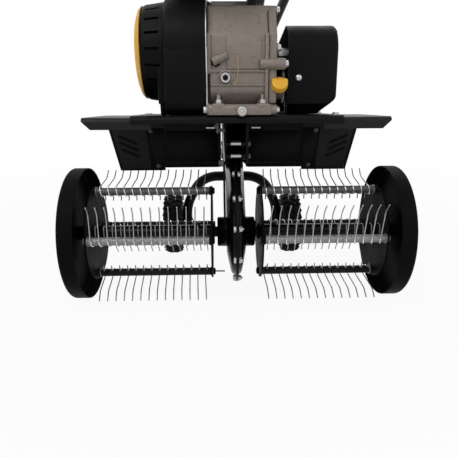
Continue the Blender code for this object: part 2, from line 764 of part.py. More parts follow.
def hood():
    deck = add("deck", channel(-DECK_HALF, DECK_HALF, SHEET + GAP, DECK_FLAP_BOTTOM), PAINT)
    slot_front = case_front(DECK_TOP - SHEET) - CASE_SLOT_ROOM
    slot = block((-CASE_SLOT_HALF, CASE_SLOT_HALF), (slot_front, 2 * HOOD_REAR), (0, 2 * DECK_TOP))
    combine(deck, "DIFFERENCE", add("case_slot", slot, PAINT))
    for side, name in ((-1, "left"), (1, "right")):
        shape = channel(side * FENDER_INNER, side * FENDER_OUTER, 0, FLAP_BOTTOM)
        fender = add(f"{name}_fender", shape, PAINT)
        edge = [
            (side * (FENDER_OUTER + 0.001), DECK_TOP - LIP_DROP),
            (side * (FENDER_OUTER + 0.02), DECK_TOP - LIP_DROP),
            (side * (FENDER_OUTER + 0.02), FLAP_BOTTOM - 0.02),
            (side * (FENDER_OUTER - FLAP_SLANT * 1.2), FLAP_BOTTOM - 0.02),
        ]
        cuts = [prism(edge, HOOD_REAR - 0.02, HOOD_REAR + 0.02, "Y")]
        for i in range(GROOVES):
            place_x = side * (GROOVE_X - GROOVE_STEP_X * i)
            centre = (place_x, HOOD_REAR - SHEET, GROOVE_TOP - GROOVE_STEP_Z * i)
            x, z = GROOVE_LENGTH / 2, GROOVE_WIDTH / 2
            bar = block((-x, x), (-SHEET, GROOVE_PRESS), (-z, z))
            turn = Matrix.Translation(centre) @ Matrix.Rotation(-side * GROOVE_LEAN, 4, "Y")
            bmesh.ops.transform(bar, matrix=turn, verts=bar.verts)
            cuts.append(bar)
        combine(fender, "DIFFERENCE", add(f"{name}_cuts", merged(*cuts), PAINT))


def frame_plates():
    """Two plates beside the chain case, joined by the pad that the deck is bolted to."""
    inner = CASE_HALF_WIDTH + GAP
    outer = inner + PLATE_THICK
    pad_top = DECK_TOP - SHEET - GAP
    yoke = arc((YOKE_PIVOT_Y, YOKE_PIVOT_Z), EAR_RADIUS, -100, 0, 4)
    ear = arc((HANDLE_PIVOT_Y, HANDLE_PIVOT_Z), EAR_RADIUS, 0, 180, 6)
    outline = [(-PLATE_FRONT, PLATE_LOW)] + yoke + ear
    ear_front = HANDLE_PIVOT_Y - EAR_RADIUS
    outline += [(ear_front, pad_top + EAR_RADIUS), (ear_front - EAR_RADIUS, pad_top), (-PLATE_FRONT, pad_top)]
    left = add("frame_plates", prism(outline, -outer, -inner), PAINT)
    right = add("right_plate", prism(outline, inner, outer), PAINT)
    pad = block((-PAD_HALF, PAD_HALF), (-PAD_FRONT, PAD_LAP - PLATE_FRONT), (pad_top - PAD_THICK, pad_top))
    combine(left, "UNION", add("pad", pad, PAINT), right)
    holes = []
    for y, z, r in (
        (YOKE_PIVOT_Y, YOKE_PIVOT_Z, PIVOT_RADIUS),
        (HANDLE_PIVOT_Y, HANDLE_PIVOT_Z, PIVOT_RADIUS),
        (CROSS_BOLT_Y, CROSS_BOLT_HIGH, CROSS_BOLT_RADIUS),
        (CROSS_BOLT_Y, CROSS_BOLT_LOW, CROSS_BOLT_RADIUS),
    ):
        holes.append(rod(-0.05, 0.05, r + GAP, 6, (0, y, z)))
    combine(left, "DIFFERENCE", add("plate_holes", merged(*holes), PAINT))
    through_bolt("upper_cross_bolt", CROSS_BOLT_Y, CROSS_BOLT_HIGH, CROSS_BOLT_RADIUS, outer)
    through_bolt("lower_cross_bolt", CROSS_BOLT_Y, CROSS_BOLT_LOW, CROSS_BOLT_RADIUS, outer)
    through_bolt("yoke_pin", YOKE_PIVOT_Y, YOKE_PIVOT_Z, PIVOT_RADIUS, outer)
    through_bolt("handle_bolt", HANDLE_PIVOT_Y, HANDLE_PIVOT_Z, PIVOT_RADIUS, outer)


def through_bolt(name, y, z, radius, half):
    seat = half + GAP
    head = BOLT_HEAD_RATIO * radius
    end = seat + BOLT_HEAD_THICK
    profile = [(-end, 0), (-end, head), (-seat, head), (-seat, radius)]
    profile += [(seat, radius), (seat, head), (end, head), (end, 0)]
    add(name, turned(profile, 6, (0, y, z), closed=False), STEEL)


def wheels():
    pivot = (0, YOKE_PIVOT_Y, YOKE_PIVOT_Z)
    axle = Vector((0, WHEEL_Y, WHEEL_Z))
    legs = [(ARCH_HALF, ARCH_Y, ARCH_TOP), (YOKE_LEG_X, axle.y, YOKE_ELBOW_Z), (YOKE_LEG_X, *axle.yz)]
    legs = [(-x, y, z) for x, y, z in reversed(legs)] + legs
    arch = add("wheel_yoke", tube([rounded_path(legs, ARCH_BEND, 4)], YOKE_TUBE), PAINT, pivot=pivot)
    inner = CASE_HALF_WIDTH - GAP
    stem = [(YOKE_PIVOT_Y - STEM_HALF, YOKE_PIVOT_Z)]
    stem += [(ARCH_Y + s * STEM_FOOT_Y, ARCH_TOP + s * STEM_FOOT_Z) for s in (-1, 1)]
    stem += arc((YOKE_PIVOT_Y, YOKE_PIVOT_Z), STEM_HALF, 0, 180, 6)[:-1]
    combine(arch, "UNION", add("stem", prism(stem, -inner, inner), PAINT))
    stubs = rod(YOKE_LEG_X, WHEEL_X + WHEEL_WIDTH / 2, STUB_RADIUS, 12, axle)
    mirror = rod(-WHEEL_X - WHEEL_WIDTH / 2, -YOKE_LEG_X, STUB_RADIUS, 12, axle)
    combine(arch, "UNION", add("right_stub", stubs, STEEL), add("left_stub", mirror, STEEL))
    bore = rod(-0.05, 0.05, bored(PIVOT_RADIUS, 8), 8, pivot)
    combine(arch, "DIFFERENCE", add("pivot_bore", bore, PAINT))
    for side, name in ((-1, "left"), (1, "right")):
        at = (side * WHEEL_X, *axle.yz)
        half = WHEEL_WIDTH / 2
        edge = half - TYRE_SHOULDER
        tyre = [(-half, RIM_RADIUS), (-half, WHEEL_RADIUS - TYRE_SHOULDER), (-edge, WHEEL_RADIUS)]
        tyre += [(edge, WHEEL_RADIUS), (half, WHEEL_RADIUS - TYRE_SHOULDER), (half, RIM_RADIUS)]
        add(f"{name}_tyre", turned(tyre, 16, at), RUBBER, pivot=at)
        hub = bored(STUB_RADIUS, 16)
        seat = RIM_RADIUS - GAP
        ledge = seat - RIM_WEB
        rim = [(-half, hub), (-half, HUB_RADIUS), (-RIM_WEB, HUB_RADIUS), (-RIM_WEB, ledge)]
        rim += [(-half, ledge), (-half, seat), (half, seat), (half, ledge)]
        rim += [(RIM_WEB, ledge), (RIM_WEB, HUB_RADIUS), (half, HUB_RADIUS), (half, hub)]
        add(f"{name}_rim", turned(rim, 16, at), PLASTIC, pivot=at)


def engine():
    base = DECK_TOP + GAP
    crank = (0, CRANK_Y, CRANK_Z)
    ledge = base + FOOT_THICK
    top = CRANK_Z + BLOCK_HEIGHT
    case = [(-BLOCK_FRONT, ledge), (-BLOCK_FRONT, CRANK_Z + BLOCK_SHOULDER)]
    case += [(BLOCK_FRONT_SLOPE - BLOCK_FRONT, top)]
    case += [(BLOCK_REAR - BLOCK_REAR_SLOPE, top), (BLOCK_REAR, top - BLOCK_SHOULDER), (BLOCK_REAR, ledge)]
    foot = [(FOOT_REAR, ledge), (FOOT_REAR, base), (-FOOT_FRONT, base), (-FOOT_FRONT, ledge)]
    crankcase = add("crankcase", prism(case + foot, -BLOCK_LEFT, BLOCK_RIGHT), CAST)
    tunnel = add("crank_tunnel", rod(-0.1, 0.1, bored(CRANK_RADIUS, 12), 12, crank), CAST)
    seat = add("head_seat", barrel(-0.02, 0.4, CYLINDER_RADIUS + GAP), CAST)
    combine(crankcase, "DIFFERENCE", tunnel, seat)
    heel = (BLOCK_REAR - 0.01, base + FOOT_THICK)
    cover = add("side_cover", prism(case[:-1] + [heel], BLOCK_RIGHT + GAP, COVER_RIGHT), CAST)
    combine(cover, "UNION", add("filler_boss", filler(rod(-FILLER_LENGTH, 0, FILLER_RADIUS, 12)), CAST))
    combine(cover, "DIFFERENCE", add("cover_hole", rod(-0.1, 0.1, bored(CRANK_RADIUS, 12), 12, crank), CAST))
    hole = filler_cap(bored(NECK_RADIUS, CAP_SIDES), bored(CAP_RADIUS, CAP_SIDES), GAP)
    combine(cover, "DIFFERENCE", add("filler_hole", hole, CAST))
    add("dipstick", filler_cap(NECK_RADIUS, CAP_RADIUS, 0), YELLOW, pivot=FILLER_SEAT)
    cylinder()
    cooling(crank)
    drive(crank)
    top_parts(base)


def filler_cap(neck, cap, room):
    """A filler cap on its threaded neck, with room under both where it is the hole for them."""
    end = -NECK_LENGTH - room
    profile = [(end, 0), (end, neck), (GAP - room, neck)]
    profile += [(GAP - room, cap), (CAP_THICK, cap), (CAP_THICK, 0)]
    return filler(turned(profile, CAP_SIDES, closed=False))


def filler(bm):
    """Shapes turned about X, laid along the oil filler: forwards and up from its seat."""
    turn = Matrix.Rotation(-FILLER_TILT, 4, "X") @ Matrix.Rotation(-math.pi / 2, 4, "Z")
    bmesh.ops.transform(bm, matrix=Matrix.Translation(FILLER_SEAT) @ turn, verts=bm.verts)
    return bm


def tilted(bm):
    """Shapes turned about X, laid along the cylinder's own axis from the crank outwards."""
    turn = Matrix.Rotation(math.pi / 2, 4, "Z")
    tilt = Matrix.Rotation(CYLINDER_TILT, 4, "X")
    bmesh.ops.transform(bm, matrix=Matrix.Translation((0, CRANK_Y, CRANK_Z)) @ tilt @ turn, verts=bm.verts)
    return bm


def barrel(start, end, radius):
    return tilted(rod(start, end, radius, CYLINDER_SIDES))


def cylinder():
    """Finned barrel and head, leaning back over the chain case."""
    start = BLOCK_REAR - CRANK_Y - 0.010
    low, high = CYLINDER_RADIUS - 0.004, CYLINDER_RADIUS + FIN_HEIGHT
    profile = [(start, 0), (start, CYLINDER_RADIUS - 0.001)]
    pitch = (CYLINDER_LENGTH - 0.02) / FINS
    for i in range(FINS):
        x = start + FIN_START + pitch * i
        profile += [(x, low), (x, high), (x + FIN_THICK, high), (x + FIN_THICK, low)]
    end = start + CYLINDER_LENGTH + 0.01
    head_end = end + HEAD_LENGTH
    profile += [(end, low), (end, HEAD_RADIUS), (head_end, HEAD_RADIUS), (head_end, 0)]
    add("cylinder", tilted(turned(profile, CYLINDER_SIDES, closed=False)), CAST)


def cooling(crank):
    """Fan shroud and recoil cover on the left, flywheel inside."""
    left, right, wall = -SHROUD_LEFT, -BLOCK_LEFT - GAP, 0.0025
    hub = bored(CRANK_RADIUS, 12)
    shroud = [(right, SHROUD_RADIUS), (left + 0.008, SHROUD_RADIUS), (left, SHROUD_RADIUS - 0.008)]
    mouth = RECOIL_RADIUS - 0.014
    shroud += [(left, mouth), (left + wall, mouth), (left + wall, SHROUD_RADIUS - 0.008 - wall)]
    shroud += [(left + 0.010, SHROUD_RADIUS - wall), (right, SHROUD_RADIUS - wall)]
    add("fan_shroud", turned(shroud, 20, crank), PLASTIC)
    near, far = left - GAP, -RECOIL_LEFT
    outside = ((near, 0), (far + 0.020, 0.004), (far, 0.022))
    inside = ((far + 0.004, 0.025), (far + 0.022, 0.008), (near, 0.004))
    cover = [(x, RECOIL_RADIUS - step) for x, step in outside] + [(far - 0.004, 0), (far - 0.001, 0)]
    cover += [(x, RECOIL_RADIUS - step) for x, step in inside]
    add("recoil_cover", turned(cover, 20, crank), PLASTIC)
    wheel = [(left + 0.012, hub), (left + 0.012, FLYWHEEL_RADIUS), (right - 0.020, FLYWHEEL_RADIUS)]
    wheel += [(right - 0.020, 0.03), (right - 0.004, 0.03), (right - 0.004, hub)]
    add("flywheel", turned(wheel, 12, crank), CAST, pivot=crank)


def drive(crank):
    """Crankshaft, pulleys, belt and the guard over them."""
    pin_end = PULLEY_X + PULLEY_WIDTH / 2 + 0.004
    add("crankshaft", rod(-SHROUD_LEFT + 0.004, pin_end, CRANK_RADIUS, 12, crank), STEEL, pivot=crank)
    pulley("drive_pulley", DRIVE_PULLEY_RADIUS, CRANK_RADIUS, crank)
    pulley("driven_pulley", DRIVEN_PULLEY_RADIUS, INPUT_RADIUS, (0, INPUT_Y, INPUT_Z))
    first, second = (CRANK_Y, CRANK_Z), (INPUT_Y, INPUT_Z)
    roots = (DRIVE_PULLEY_RADIUS - GROOVE_DEPTH, DRIVEN_PULLEY_RADIUS - GROOVE_DEPTH)
    inner = [round_outside(root + GAP, BAND_STEPS) for root in roots]
    lo, hi = PULLEY_X - BELT_WIDTH / 2, PULLEY_X + BELT_WIDTH / 2
    belt = prism(wrapped(first, inner[0] + BELT_THICK, second, inner[1] + BELT_THICK, BAND_STEPS), lo, hi)
    gap = prism(wrapped(first, inner[0], second, inner[1], BAND_STEPS), lo - 0.01, hi + 0.01)
    combine(add("drive_belt", belt, RUBBER), "DIFFERENCE", add("belt_inside", gap, RUBBER))
    floor = DECK_TOP + GAP
    guard = guard_shape(GUARD_ROOM + GUARD_WALL, floor, GUARD_LEFT, GUARD_RIGHT)
    inside = guard_shape(GUARD_ROOM, floor + GUARD_WALL, GUARD_LEFT - 0.01, GUARD_RIGHT - GUARD_WALL)
    combine(add("belt_guard", guard, PLASTIC), "DIFFERENCE", add("guard_inside", inside, PLASTIC))


def guard_shape(room, floor, left, right):
    """Flat along the deck, round over both pulleys, cut back at the toe and along the lower right edge."""
    first, second = (CRANK_Y, CRANK_Z), (INPUT_Y, INPUT_Z)
    low, high = DRIVEN_PULLEY_RADIUS + room, DRIVE_PULLEY_RADIUS + room
    meet = math.degrees(math.atan2(INPUT_Y - CRANK_Y, CRANK_Z - INPUT_Z))
    front = CRANK_Y - high
    outline = [(front, floor + GUARD_TOE), (front + GUARD_TOE, floor), (INPUT_Y + low, floor)]
    bm = prism(outline + arc(second, low, 0, meet, 4) + arc(first, high, meet, 180, 5), left, right)
    cut = bmesh.ops.bisect_plane(
        bm,
        geom=bm.verts[:] + bm.edges[:] + bm.faces[:],
        plane_co=(right, 0, floor + GUARD_CUT_Z),
        plane_no=(GUARD_CUT_Z, 0, -GUARD_CUT_X),
        clear_outer=True,
    )
    rim = [e for e in cut["geom_cut"] if isinstance(e, bmesh.types.BMEdge)]
    bmesh.ops.contextual_create(bm, geom=rim)
    bmesh.ops.recalc_face_normals(bm, faces=bm.faces)
    return bm


def pulley(name, radius, shaft, centre):
    half = PULLEY_WIDTH / 2
    root = radius - GROOVE_DEPTH
    groove = BELT_WIDTH / 2 + GAP
    bore = bored(shaft, 12)
    profile = [(-half, bore), (-half, radius), (-groove, radius), (-groove, root)]
    profile += [(groove, root), (groove, radius), (half, radius), (half, bore)]
    at = (PULLEY_X, centre[1], centre[2])
    add(name, turned(profile, 12, at), ZINC, pivot=centre)


def top_parts(base):
    """Tank, cap, air cleaner and silencer on top of the engine."""
    low, high = base + TANK_LOW, base + TANK_HIGH
    shape = block(TANK_X, TANK_Y, (low, high), TOP_ROUNDING)
    brim = [e for e in shape.edges if all(v.co.z > high - 1e-5 for v in e.verts)]
    bmesh.ops.bevel(shape, geom=brim, offset=TANK_BRIM, segments=2, profile=0.5, affect="EDGES")
    tank = add("fuel_tank", shape, PAINT)
    cap_at = (*FUEL_CAP_AT, high + GAP)
    side = FUEL_CAP_HIGH - FUEL_CAP_SOFT
    cap = [(0, 0), (0, FUEL_CAP_RADIUS), (side, FUEL_CAP_RADIUS)]
    cap += [(FUEL_CAP_HIGH, FUEL_CAP_RADIUS - FUEL_CAP_SOFT), (FUEL_CAP_HIGH, 0)]
    add("fuel_cap", turned(cap, 16, cap_at, "Z", closed=False), PLASTIC, pivot=cap_at)
    stay = block(TANK_STAY_X, TANK_STAY_Y, (CRANK_Z + SHROUD_RADIUS - 0.004, low + 0.004))
    seat = add("stay_seat", rod(-0.13, -0.04, SHROUD_RADIUS + GAP, 20, (0, CRANK_Y, CRANK_Z)), PAINT)
    combine(tank, "UNION", combine(add("tank_stay", stay, PAINT), "DIFFERENCE", seat))
    boxes = (
        ("air_cleaner", PLASTIC, CLEANER_X, CLEANER_Y, CLEANER_LEG_X),
        ("silencer", PAINT, SILENCER_X, SILENCER_Y, SILENCER_LEG_X),
    )
    for name, mat, x, y, leg_x in boxes:
        box = add(name, block(x, y, (low + 0.004, high + 0.004), TOP_ROUNDING), mat)
        leg = add(f"{name}_leg", block(leg_x, TOP_LEG_Y, (CRANK_Z + TOP_LEG_LOW, low + TOP_LEG_LAP)), mat)
        seat = barrel(0, CYLINDER_LENGTH * 2, CYLINDER_RADIUS + FIN_HEIGHT + GAP)
        combine(box, "UNION", combine(leg, "DIFFERENCE", add(f"{name}_seat", seat, mat)))


def handles():
    pivot = (0, HANDLE_PIVOT_Y, HANDLE_PIVOT_Z)
    right = [(x, HANDLE_PIVOT_Y + y, HANDLE_PIVOT_Z + z) for x, y, z in HANDLE_BENDS]
    right += [(GRIP_HALF_SPAN, GRIP_Y - GRIP_RUN, GRIP_Z - GRIP_RISE), (GRIP_HALF_SPAN, GRIP_Y, GRIP_Z)]
    left = [(-x, y, z) for x, y, z in reversed(right)]
    shape = tube([rounded_path(left + right, HANDLE_BEND, 3)], HANDLE_TUBE)
    bar = add("handlebar", shape, PAINT, pivot=pivot)
    inner = CASE_HALF_WIDTH - GAP
    stem = arc((HANDLE_PIVOT_Y, HANDLE_PIVOT_Z), HANDLE_STEM_RADIUS, 135, 315, 6)
    stem += [(HANDLE_PIVOT_Y + y, HANDLE_PIVOT_Z + z) for y, z in HANDLE_STEM_END]
    combine(bar, "UNION", add("handle_stem", prism(stem, -inner, inner), PAINT))
    combine(bar, "DIFFERENCE", add("handle_bore", rod(-0.05, 0.05, bored(PIVOT_RADIUS, 8), 8, pivot), PAINT))
    slope = Vector((0, GRIP_RUN, GRIP_RISE)).normalized()
    for side, name in ((-1, "left"), (1, "right")):
        end = Vector((side * GRIP_HALF_SPAN, GRIP_Y, GRIP_Z))
        start = end - slope * GRIP_LENGTH
        bm = ring(0, GRIP_LENGTH, HANDLE_TUBE + GAP, GRIP_RADIUS, 12)
        turn = slope.to_track_quat("X", "Z").to_matrix().to_4x4()
        bmesh.ops.transform(bm, matrix=Matrix.Translation(start) @ turn, verts=bm.verts)
        add(f"{name}_grip", bm, RUBBER)
    lever(bar, "clutch_lever", -1, -LEVER_DROP, CLUTCH_OUTLINE)
    lever(bar, "throttle_lever", 1, LEVER_DROP, THROTTLE_OUTLINE)


def lever(bar, name, side, drop, outline):
    """A lever on a stub that turns in a lug of the handlebar."""
    y = GRIP_Y - GRIP_LENGTH - LEVER_BACK
    bar_z = GRIP_Z - GRIP_RISE * (GRIP_Y - y) / GRIP_RUN
    x = side * GRIP_HALF_SPAN
    pivot = (x, y, bar_z + drop)
    half = LUG_THICK / 2
    reach = sorted((bar_z, bar_z + drop * LUG_REACH))
    lug = add(f"{name}_lug", block((x - half, x + half), (y - LUG_HALF, y + LUG_HALF), reach), PAINT)
    bore = add(f"{name}_bore", rod(-0.02, 0.02, bored(LEVER_PIN, 8), 8, pivot), PAINT)
    combine(bar, "UNION", lug)
    combine(bar, "DIFFERENCE", bore)
    inner = half + GAP
    plate = prism([(y + a, bar_z + drop + b) for a, b in outline], x + inner, x + inner + LEVER_THICK)
    obj = add(name, plate, STEEL, pivot=pivot)
    stub = add(f"{name}_stub", rod(-half, inner + LEVER_THICK / 2, LEVER_PIN, 8, pivot), STEEL)
    combine(obj, "UNION", stub)


reels()
case_parts()
hood()
frame_plates()
wheels()
engine()
handles()
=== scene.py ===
"""Looks of a walk-behind spring-tine lawn aerator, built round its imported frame.

Shapes are drawn in millimetres about the reel axle: X across the machine, -Y to its front, Z up.
"""

import json
import math

import bmesh
import bpy
from mathutils import Matrix, Vector


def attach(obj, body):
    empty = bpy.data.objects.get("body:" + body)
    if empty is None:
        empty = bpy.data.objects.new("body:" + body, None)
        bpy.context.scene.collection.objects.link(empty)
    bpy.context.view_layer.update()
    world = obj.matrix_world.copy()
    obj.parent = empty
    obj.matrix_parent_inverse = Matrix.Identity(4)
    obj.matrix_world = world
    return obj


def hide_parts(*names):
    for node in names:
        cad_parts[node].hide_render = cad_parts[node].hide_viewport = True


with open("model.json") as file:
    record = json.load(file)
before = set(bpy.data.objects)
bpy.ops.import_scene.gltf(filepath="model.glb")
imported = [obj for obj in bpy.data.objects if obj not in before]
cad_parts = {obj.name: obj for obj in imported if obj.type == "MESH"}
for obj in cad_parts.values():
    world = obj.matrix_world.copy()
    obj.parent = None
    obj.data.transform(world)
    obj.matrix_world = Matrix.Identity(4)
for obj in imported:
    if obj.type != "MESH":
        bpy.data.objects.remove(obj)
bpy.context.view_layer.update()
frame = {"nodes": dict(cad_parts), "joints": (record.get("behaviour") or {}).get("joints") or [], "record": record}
NODES = frame["nodes"]
HUB = next(Vector(joint["pos_m"]) for joint in frame["joints"] if joint["name"] == "reel_spin")
TO_FRAME = Matrix.Translation(HUB) @ Matrix.Scale(0.001, 4)
SIDES = ((-1, "left"), (1, "right"))


# Shapes


def spun(profile, sides=48, at=(0, 0, 0), along="X", closed=False):
    """A profile of (along, radius) points turned about an axis through a point."""
    bm = bmesh.new()
    verts = [bm.verts.new((a, 0, r)) for a, r in profile]
    edges = [bm.edges.new(pair) for pair in zip(verts, verts[1:])]
    if closed:
        edges.append(bm.edges.new((verts[-1], verts[0])))
    bmesh.ops.spin(bm, geom=verts + edges, axis=(1, 0, 0), angle=2 * math.pi, steps=sides, use_merge=True)
    turn = {"X": Matrix(), "Y": Matrix.Rotation(math.pi / 2, 4, "Z"), "Z": Matrix.Rotation(-math.pi / 2, 4, "Y")}
    bmesh.ops.transform(bm, matrix=Matrix.Translation(at) @ turn[along], verts=bm.verts)
    return bm


def slab(outline, lo, hi, along="X"):
    """A closed outline given a thickness. X takes (y, z), Y takes (x, z), Z takes (x, y)."""
    bm = bmesh.new()
    put = {"X": lambda a, b: (lo, a, b), "Y": lambda a, b: (a, lo, b), "Z": lambda a, b: (a, b, lo)}[along]
    face = bm.faces.new([bm.verts.new(put(a, b)) for a, b in outline])
    grown = bmesh.ops.extrude_face_region(bm, geom=[face])["geom"]
    step = {"X": (hi - lo, 0, 0), "Y": (0, hi - lo, 0), "Z": (0, 0, hi - lo)}[along]
    bmesh.ops.translate(bm, verts=[v for v in grown if isinstance(v, bmesh.types.BMVert)], vec=step)
    bmesh.ops.recalc_face_normals(bm, faces=bm.faces)
    return bm


def box(x, y, z, rounding=0.0, segments=3):
    """A block between pairs of coordinates with rounded edges."""
    bm = bmesh.new()
    bmesh.ops.create_cube(bm, size=1)
    bmesh.ops.scale(bm, vec=(x[1] - x[0], y[1] - y[0], z[1] - z[0]), verts=bm.verts)
    bmesh.ops.translate(bm, vec=(sum(x) / 2, sum(y) / 2, sum(z) / 2), verts=bm.verts)
    return rounded(bm, rounding, segments) if rounding else bm


def rounded(bm, width, segments=2, pick=None):
    """Bevels the sharp edges of a shape, or those of them that pick chooses."""
    bmesh.ops.remove_doubles(bm, verts=bm.verts, dist=0.001)
    bmesh.ops.recalc_face_normals(bm, faces=bm.faces)
    edges = [e for e in bm.edges if e.is_manifold and e.calc_face_angle(0) > 0.5 and (not pick or pick(e))]
    bmesh.ops.bevel(
        bm, geom=edges, offset=width, segments=segments, profile=0.5, affect="EDGES", material=-1, clamp_overlap=True
    )
    return bm


def pipe(paths, radius, round_by=4):
    """Round bars along paths of points."""
    data = bpy.data.curves.new("pipe", "CURVE")
    data.dimensions = "3D"
    data.twist_mode = "MINIMUM"
    data.use_fill_caps = True
    data.bevel_depth = radius
    data.bevel_resolution = round_by
    for path in paths:
        spline = data.splines.new("POLY")
        spline.points.add(len(path) - 1)
        for point, place in zip(spline.points, path):
            point.co = (*place, 1)
    obj = bpy.data.objects.new("pipe", data)
    bpy.context.collection.objects.link(obj)
    return meshed(obj)


def meshed(obj):
    """The finished mesh of a helper object, which is then removed."""
    bpy.context.view_layer.update()
    mesh = bpy.data.meshes.new_from_object(obj.evaluated_get(bpy.context.evaluated_depsgraph_get()))
    bpy.data.objects.remove(obj, do_unlink=True)
    bm = bmesh.new()
    bm.from_mesh(mesh)
    bpy.data.meshes.remove(mesh)
    bmesh.ops.remove_doubles(bm, verts=bm.verts, dist=0.001)
    return bm


def bent(points, bend, steps=6):
    """A path whose inner corners are round."""
    points = [Vector(p) for p in points]
    path = [points[0]]
    for before, corner, after in zip(points, points[1:], points[2:]):
        into, out = before - corner, after - corner
        cut = min(bend, into.length * 0.49, out.length * 0.49)
        start, end = corner + into.normalized() * cut, corner + out.normalized() * cut
        for i in range(steps + 1):
            t = i / steps
            path.append(start.lerp(corner, t).lerp(corner.lerp(end, t), t))
    return path + [points[-1]]


def together(*parts):
    """Several shapes in one."""
    whole = bmesh.new()
    for part in parts:
        mesh = bpy.data.meshes.new("part")
        part.to_mesh(mesh)
        part.free()
        whole.from_mesh(mesh)
        bpy.data.meshes.remove(mesh)
    return whole


def holder(bm):
    mesh = bpy.data.meshes.new("holder")
    bmesh.ops.remove_doubles(bm, verts=bm.verts, dist=0.001)
    bmesh.ops.recalc_face_normals(bm, faces=bm.faces)
    bm.to_mesh(mesh)
    bm.free()
    obj = bpy.data.objects.new("holder", mesh)
    bpy.context.collection.objects.link(obj)
    return obj


def cut(bm, *tools):
    """A shape with others taken out of it."""
    body = holder(bm)
    cutters = [holder(tool) for tool in tools]
    for cutter in cutters:
        modifier = body.modifiers.new("cut", "BOOLEAN")
        modifier.operation = "DIFFERENCE"
        modifier.solver = "EXACT"
        modifier.object = cutter
    result = meshed(body)
    for cutter in cutters:
        bpy.data.objects.remove(cutter, do_unlink=True)
    return result


def copied(bm, matrix):
    other = bm.copy()
    bmesh.ops.transform(other, matrix=matrix, verts=other.verts)
    return other


def aimed(bm, at, heading):
    """A shape drawn along +X, moved to a point and turned to a heading."""
    turn = Vector((1, 0, 0)).rotation_difference(Vector(heading)).to_matrix().to_4x4()
    bmesh.ops.transform(bm, matrix=Matrix.Translation(at) @ turn, verts=bm.verts)
    return bm


def bolt(at, heading, flats=10, high=4.5, washer=0.0):
    """A hexagon head with a chamfered top, on a washer if it has one. It stands on the point, along the heading."""
    r = flats / math.sqrt(3)
    head = spun([(0, 0), (0, r), (high * 0.8, r), (high, r * 0.84), (high, 0)], 6)
    parts = [head]
    if washer:
        parts.append(spun([(-0.4, 0), (-0.4, washer), (1.0, washer), (1.4, washer - 0.4), (1.4, 0)], 20))
    return aimed(together(*parts), at, heading)


def stud(at, heading, radius=3.5, reach=9):
    """A threaded end that stands out of a nut."""
    profile = [(0, 0), (0, radius)]
    for i in range(int(reach)):
        profile += [(i + 0.5, radius), (i + 0.8, radius * 0.88)]
    return aimed(spun(profile + [(reach, radius * 0.8), (reach + 0.6, 0)], 14), at, heading)


def round_head(at, heading, radius=5, high=2.6):
    """A domed screw head with a cross recess."""
    dome = [(0, 0), (0, radius), (high * 0.4, radius * 0.96), (high * 0.8, radius * 0.7)]
    dome += [(high, radius * 0.3), (high, 0)]
    slots = [box((high * 0.55, high * 2), (-w, w), (-h, h)) for w, h in ((radius * 0.5, 0.6), (0.6, radius * 0.5))]
    return aimed(cut(spun(dome, 20), *slots), at, heading)


def piece(name, bm, finish, body, *nodes, crease=32, soft=0.0, slot=None):
    """Puts a shape into the frame as a piece that rides on a body and may stand for CAD nodes."""
    bmesh.ops.remove_doubles(bm, verts=bm.verts, dist=0.001)
    bmesh.ops.recalc_face_normals(bm, faces=bm.faces)
    bmesh.ops.transform(bm, matrix=TO_FRAME, verts=bm.verts)
    mesh = bpy.data.meshes.new(name)
    bm.to_mesh(mesh)
    bm.free()
    mesh.shade_smooth()
    mesh.set_sharp_from_angle(angle=math.radians(crease))
    mesh.materials.append(finish)
    obj = bpy.data.objects.new(name, mesh)
    bpy.context.collection.objects.link(obj)
    if soft:
        modifier = obj.modifiers.new("soft_edges", "BEVEL")
        modifier.width = soft * 0.001
        modifier.segments = 2
        modifier.limit_method = "ANGLE"
        modifier.angle_limit = math.radians(40)
        modifier.harden_normals = True
    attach(obj, body)
    if nodes:
        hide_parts(*nodes)
    return obj


# Finishes


def node(tree, kind, **values):
    made = tree.nodes.new(kind)
    for key, value in values.items():
        setattr(made, key, value)
    return made


def effect(name, inputs, outputs):
    """An empty shader node group with named sockets."""
    tree = bpy.data.node_groups.new(name, "ShaderNodeTree")
    for label, default in inputs:
        tree.interface.new_socket(label, in_out="INPUT", socket_type="NodeSocketFloat").default_value = default
    for label in outputs:
        tree.interface.new_socket(label, in_out="OUTPUT", socket_type="NodeSocketFloat")
    return tree, tree.nodes.new("NodeGroupInput"), tree.nodes.new("NodeGroupOutput")


def speckle_effect():
    """Noise in two sizes: a fine height for bumps and a broad patchiness."""
    tree, given, result = effect("surface_grain", (("Fine", 1500.0), ("Broad", 40.0)), ("Height", "Patch"))
    place = node(tree, "ShaderNodeTexCoord")
    for size, label, detail in (("Fine", "Height", 2.0), ("Broad", "Patch", 4.0)):
        noise = node(tree, "ShaderNodeTexNoise")
        noise.inputs["Detail"].default_value = detail
        tree.links.new(place.outputs["Object"], noise.inputs["Vector"])
        tree.links.new(given.outputs[size], noise.inputs["Scale"])
        tree.links.new(noise.outputs["Fac"], result.inputs[label])
    return tree


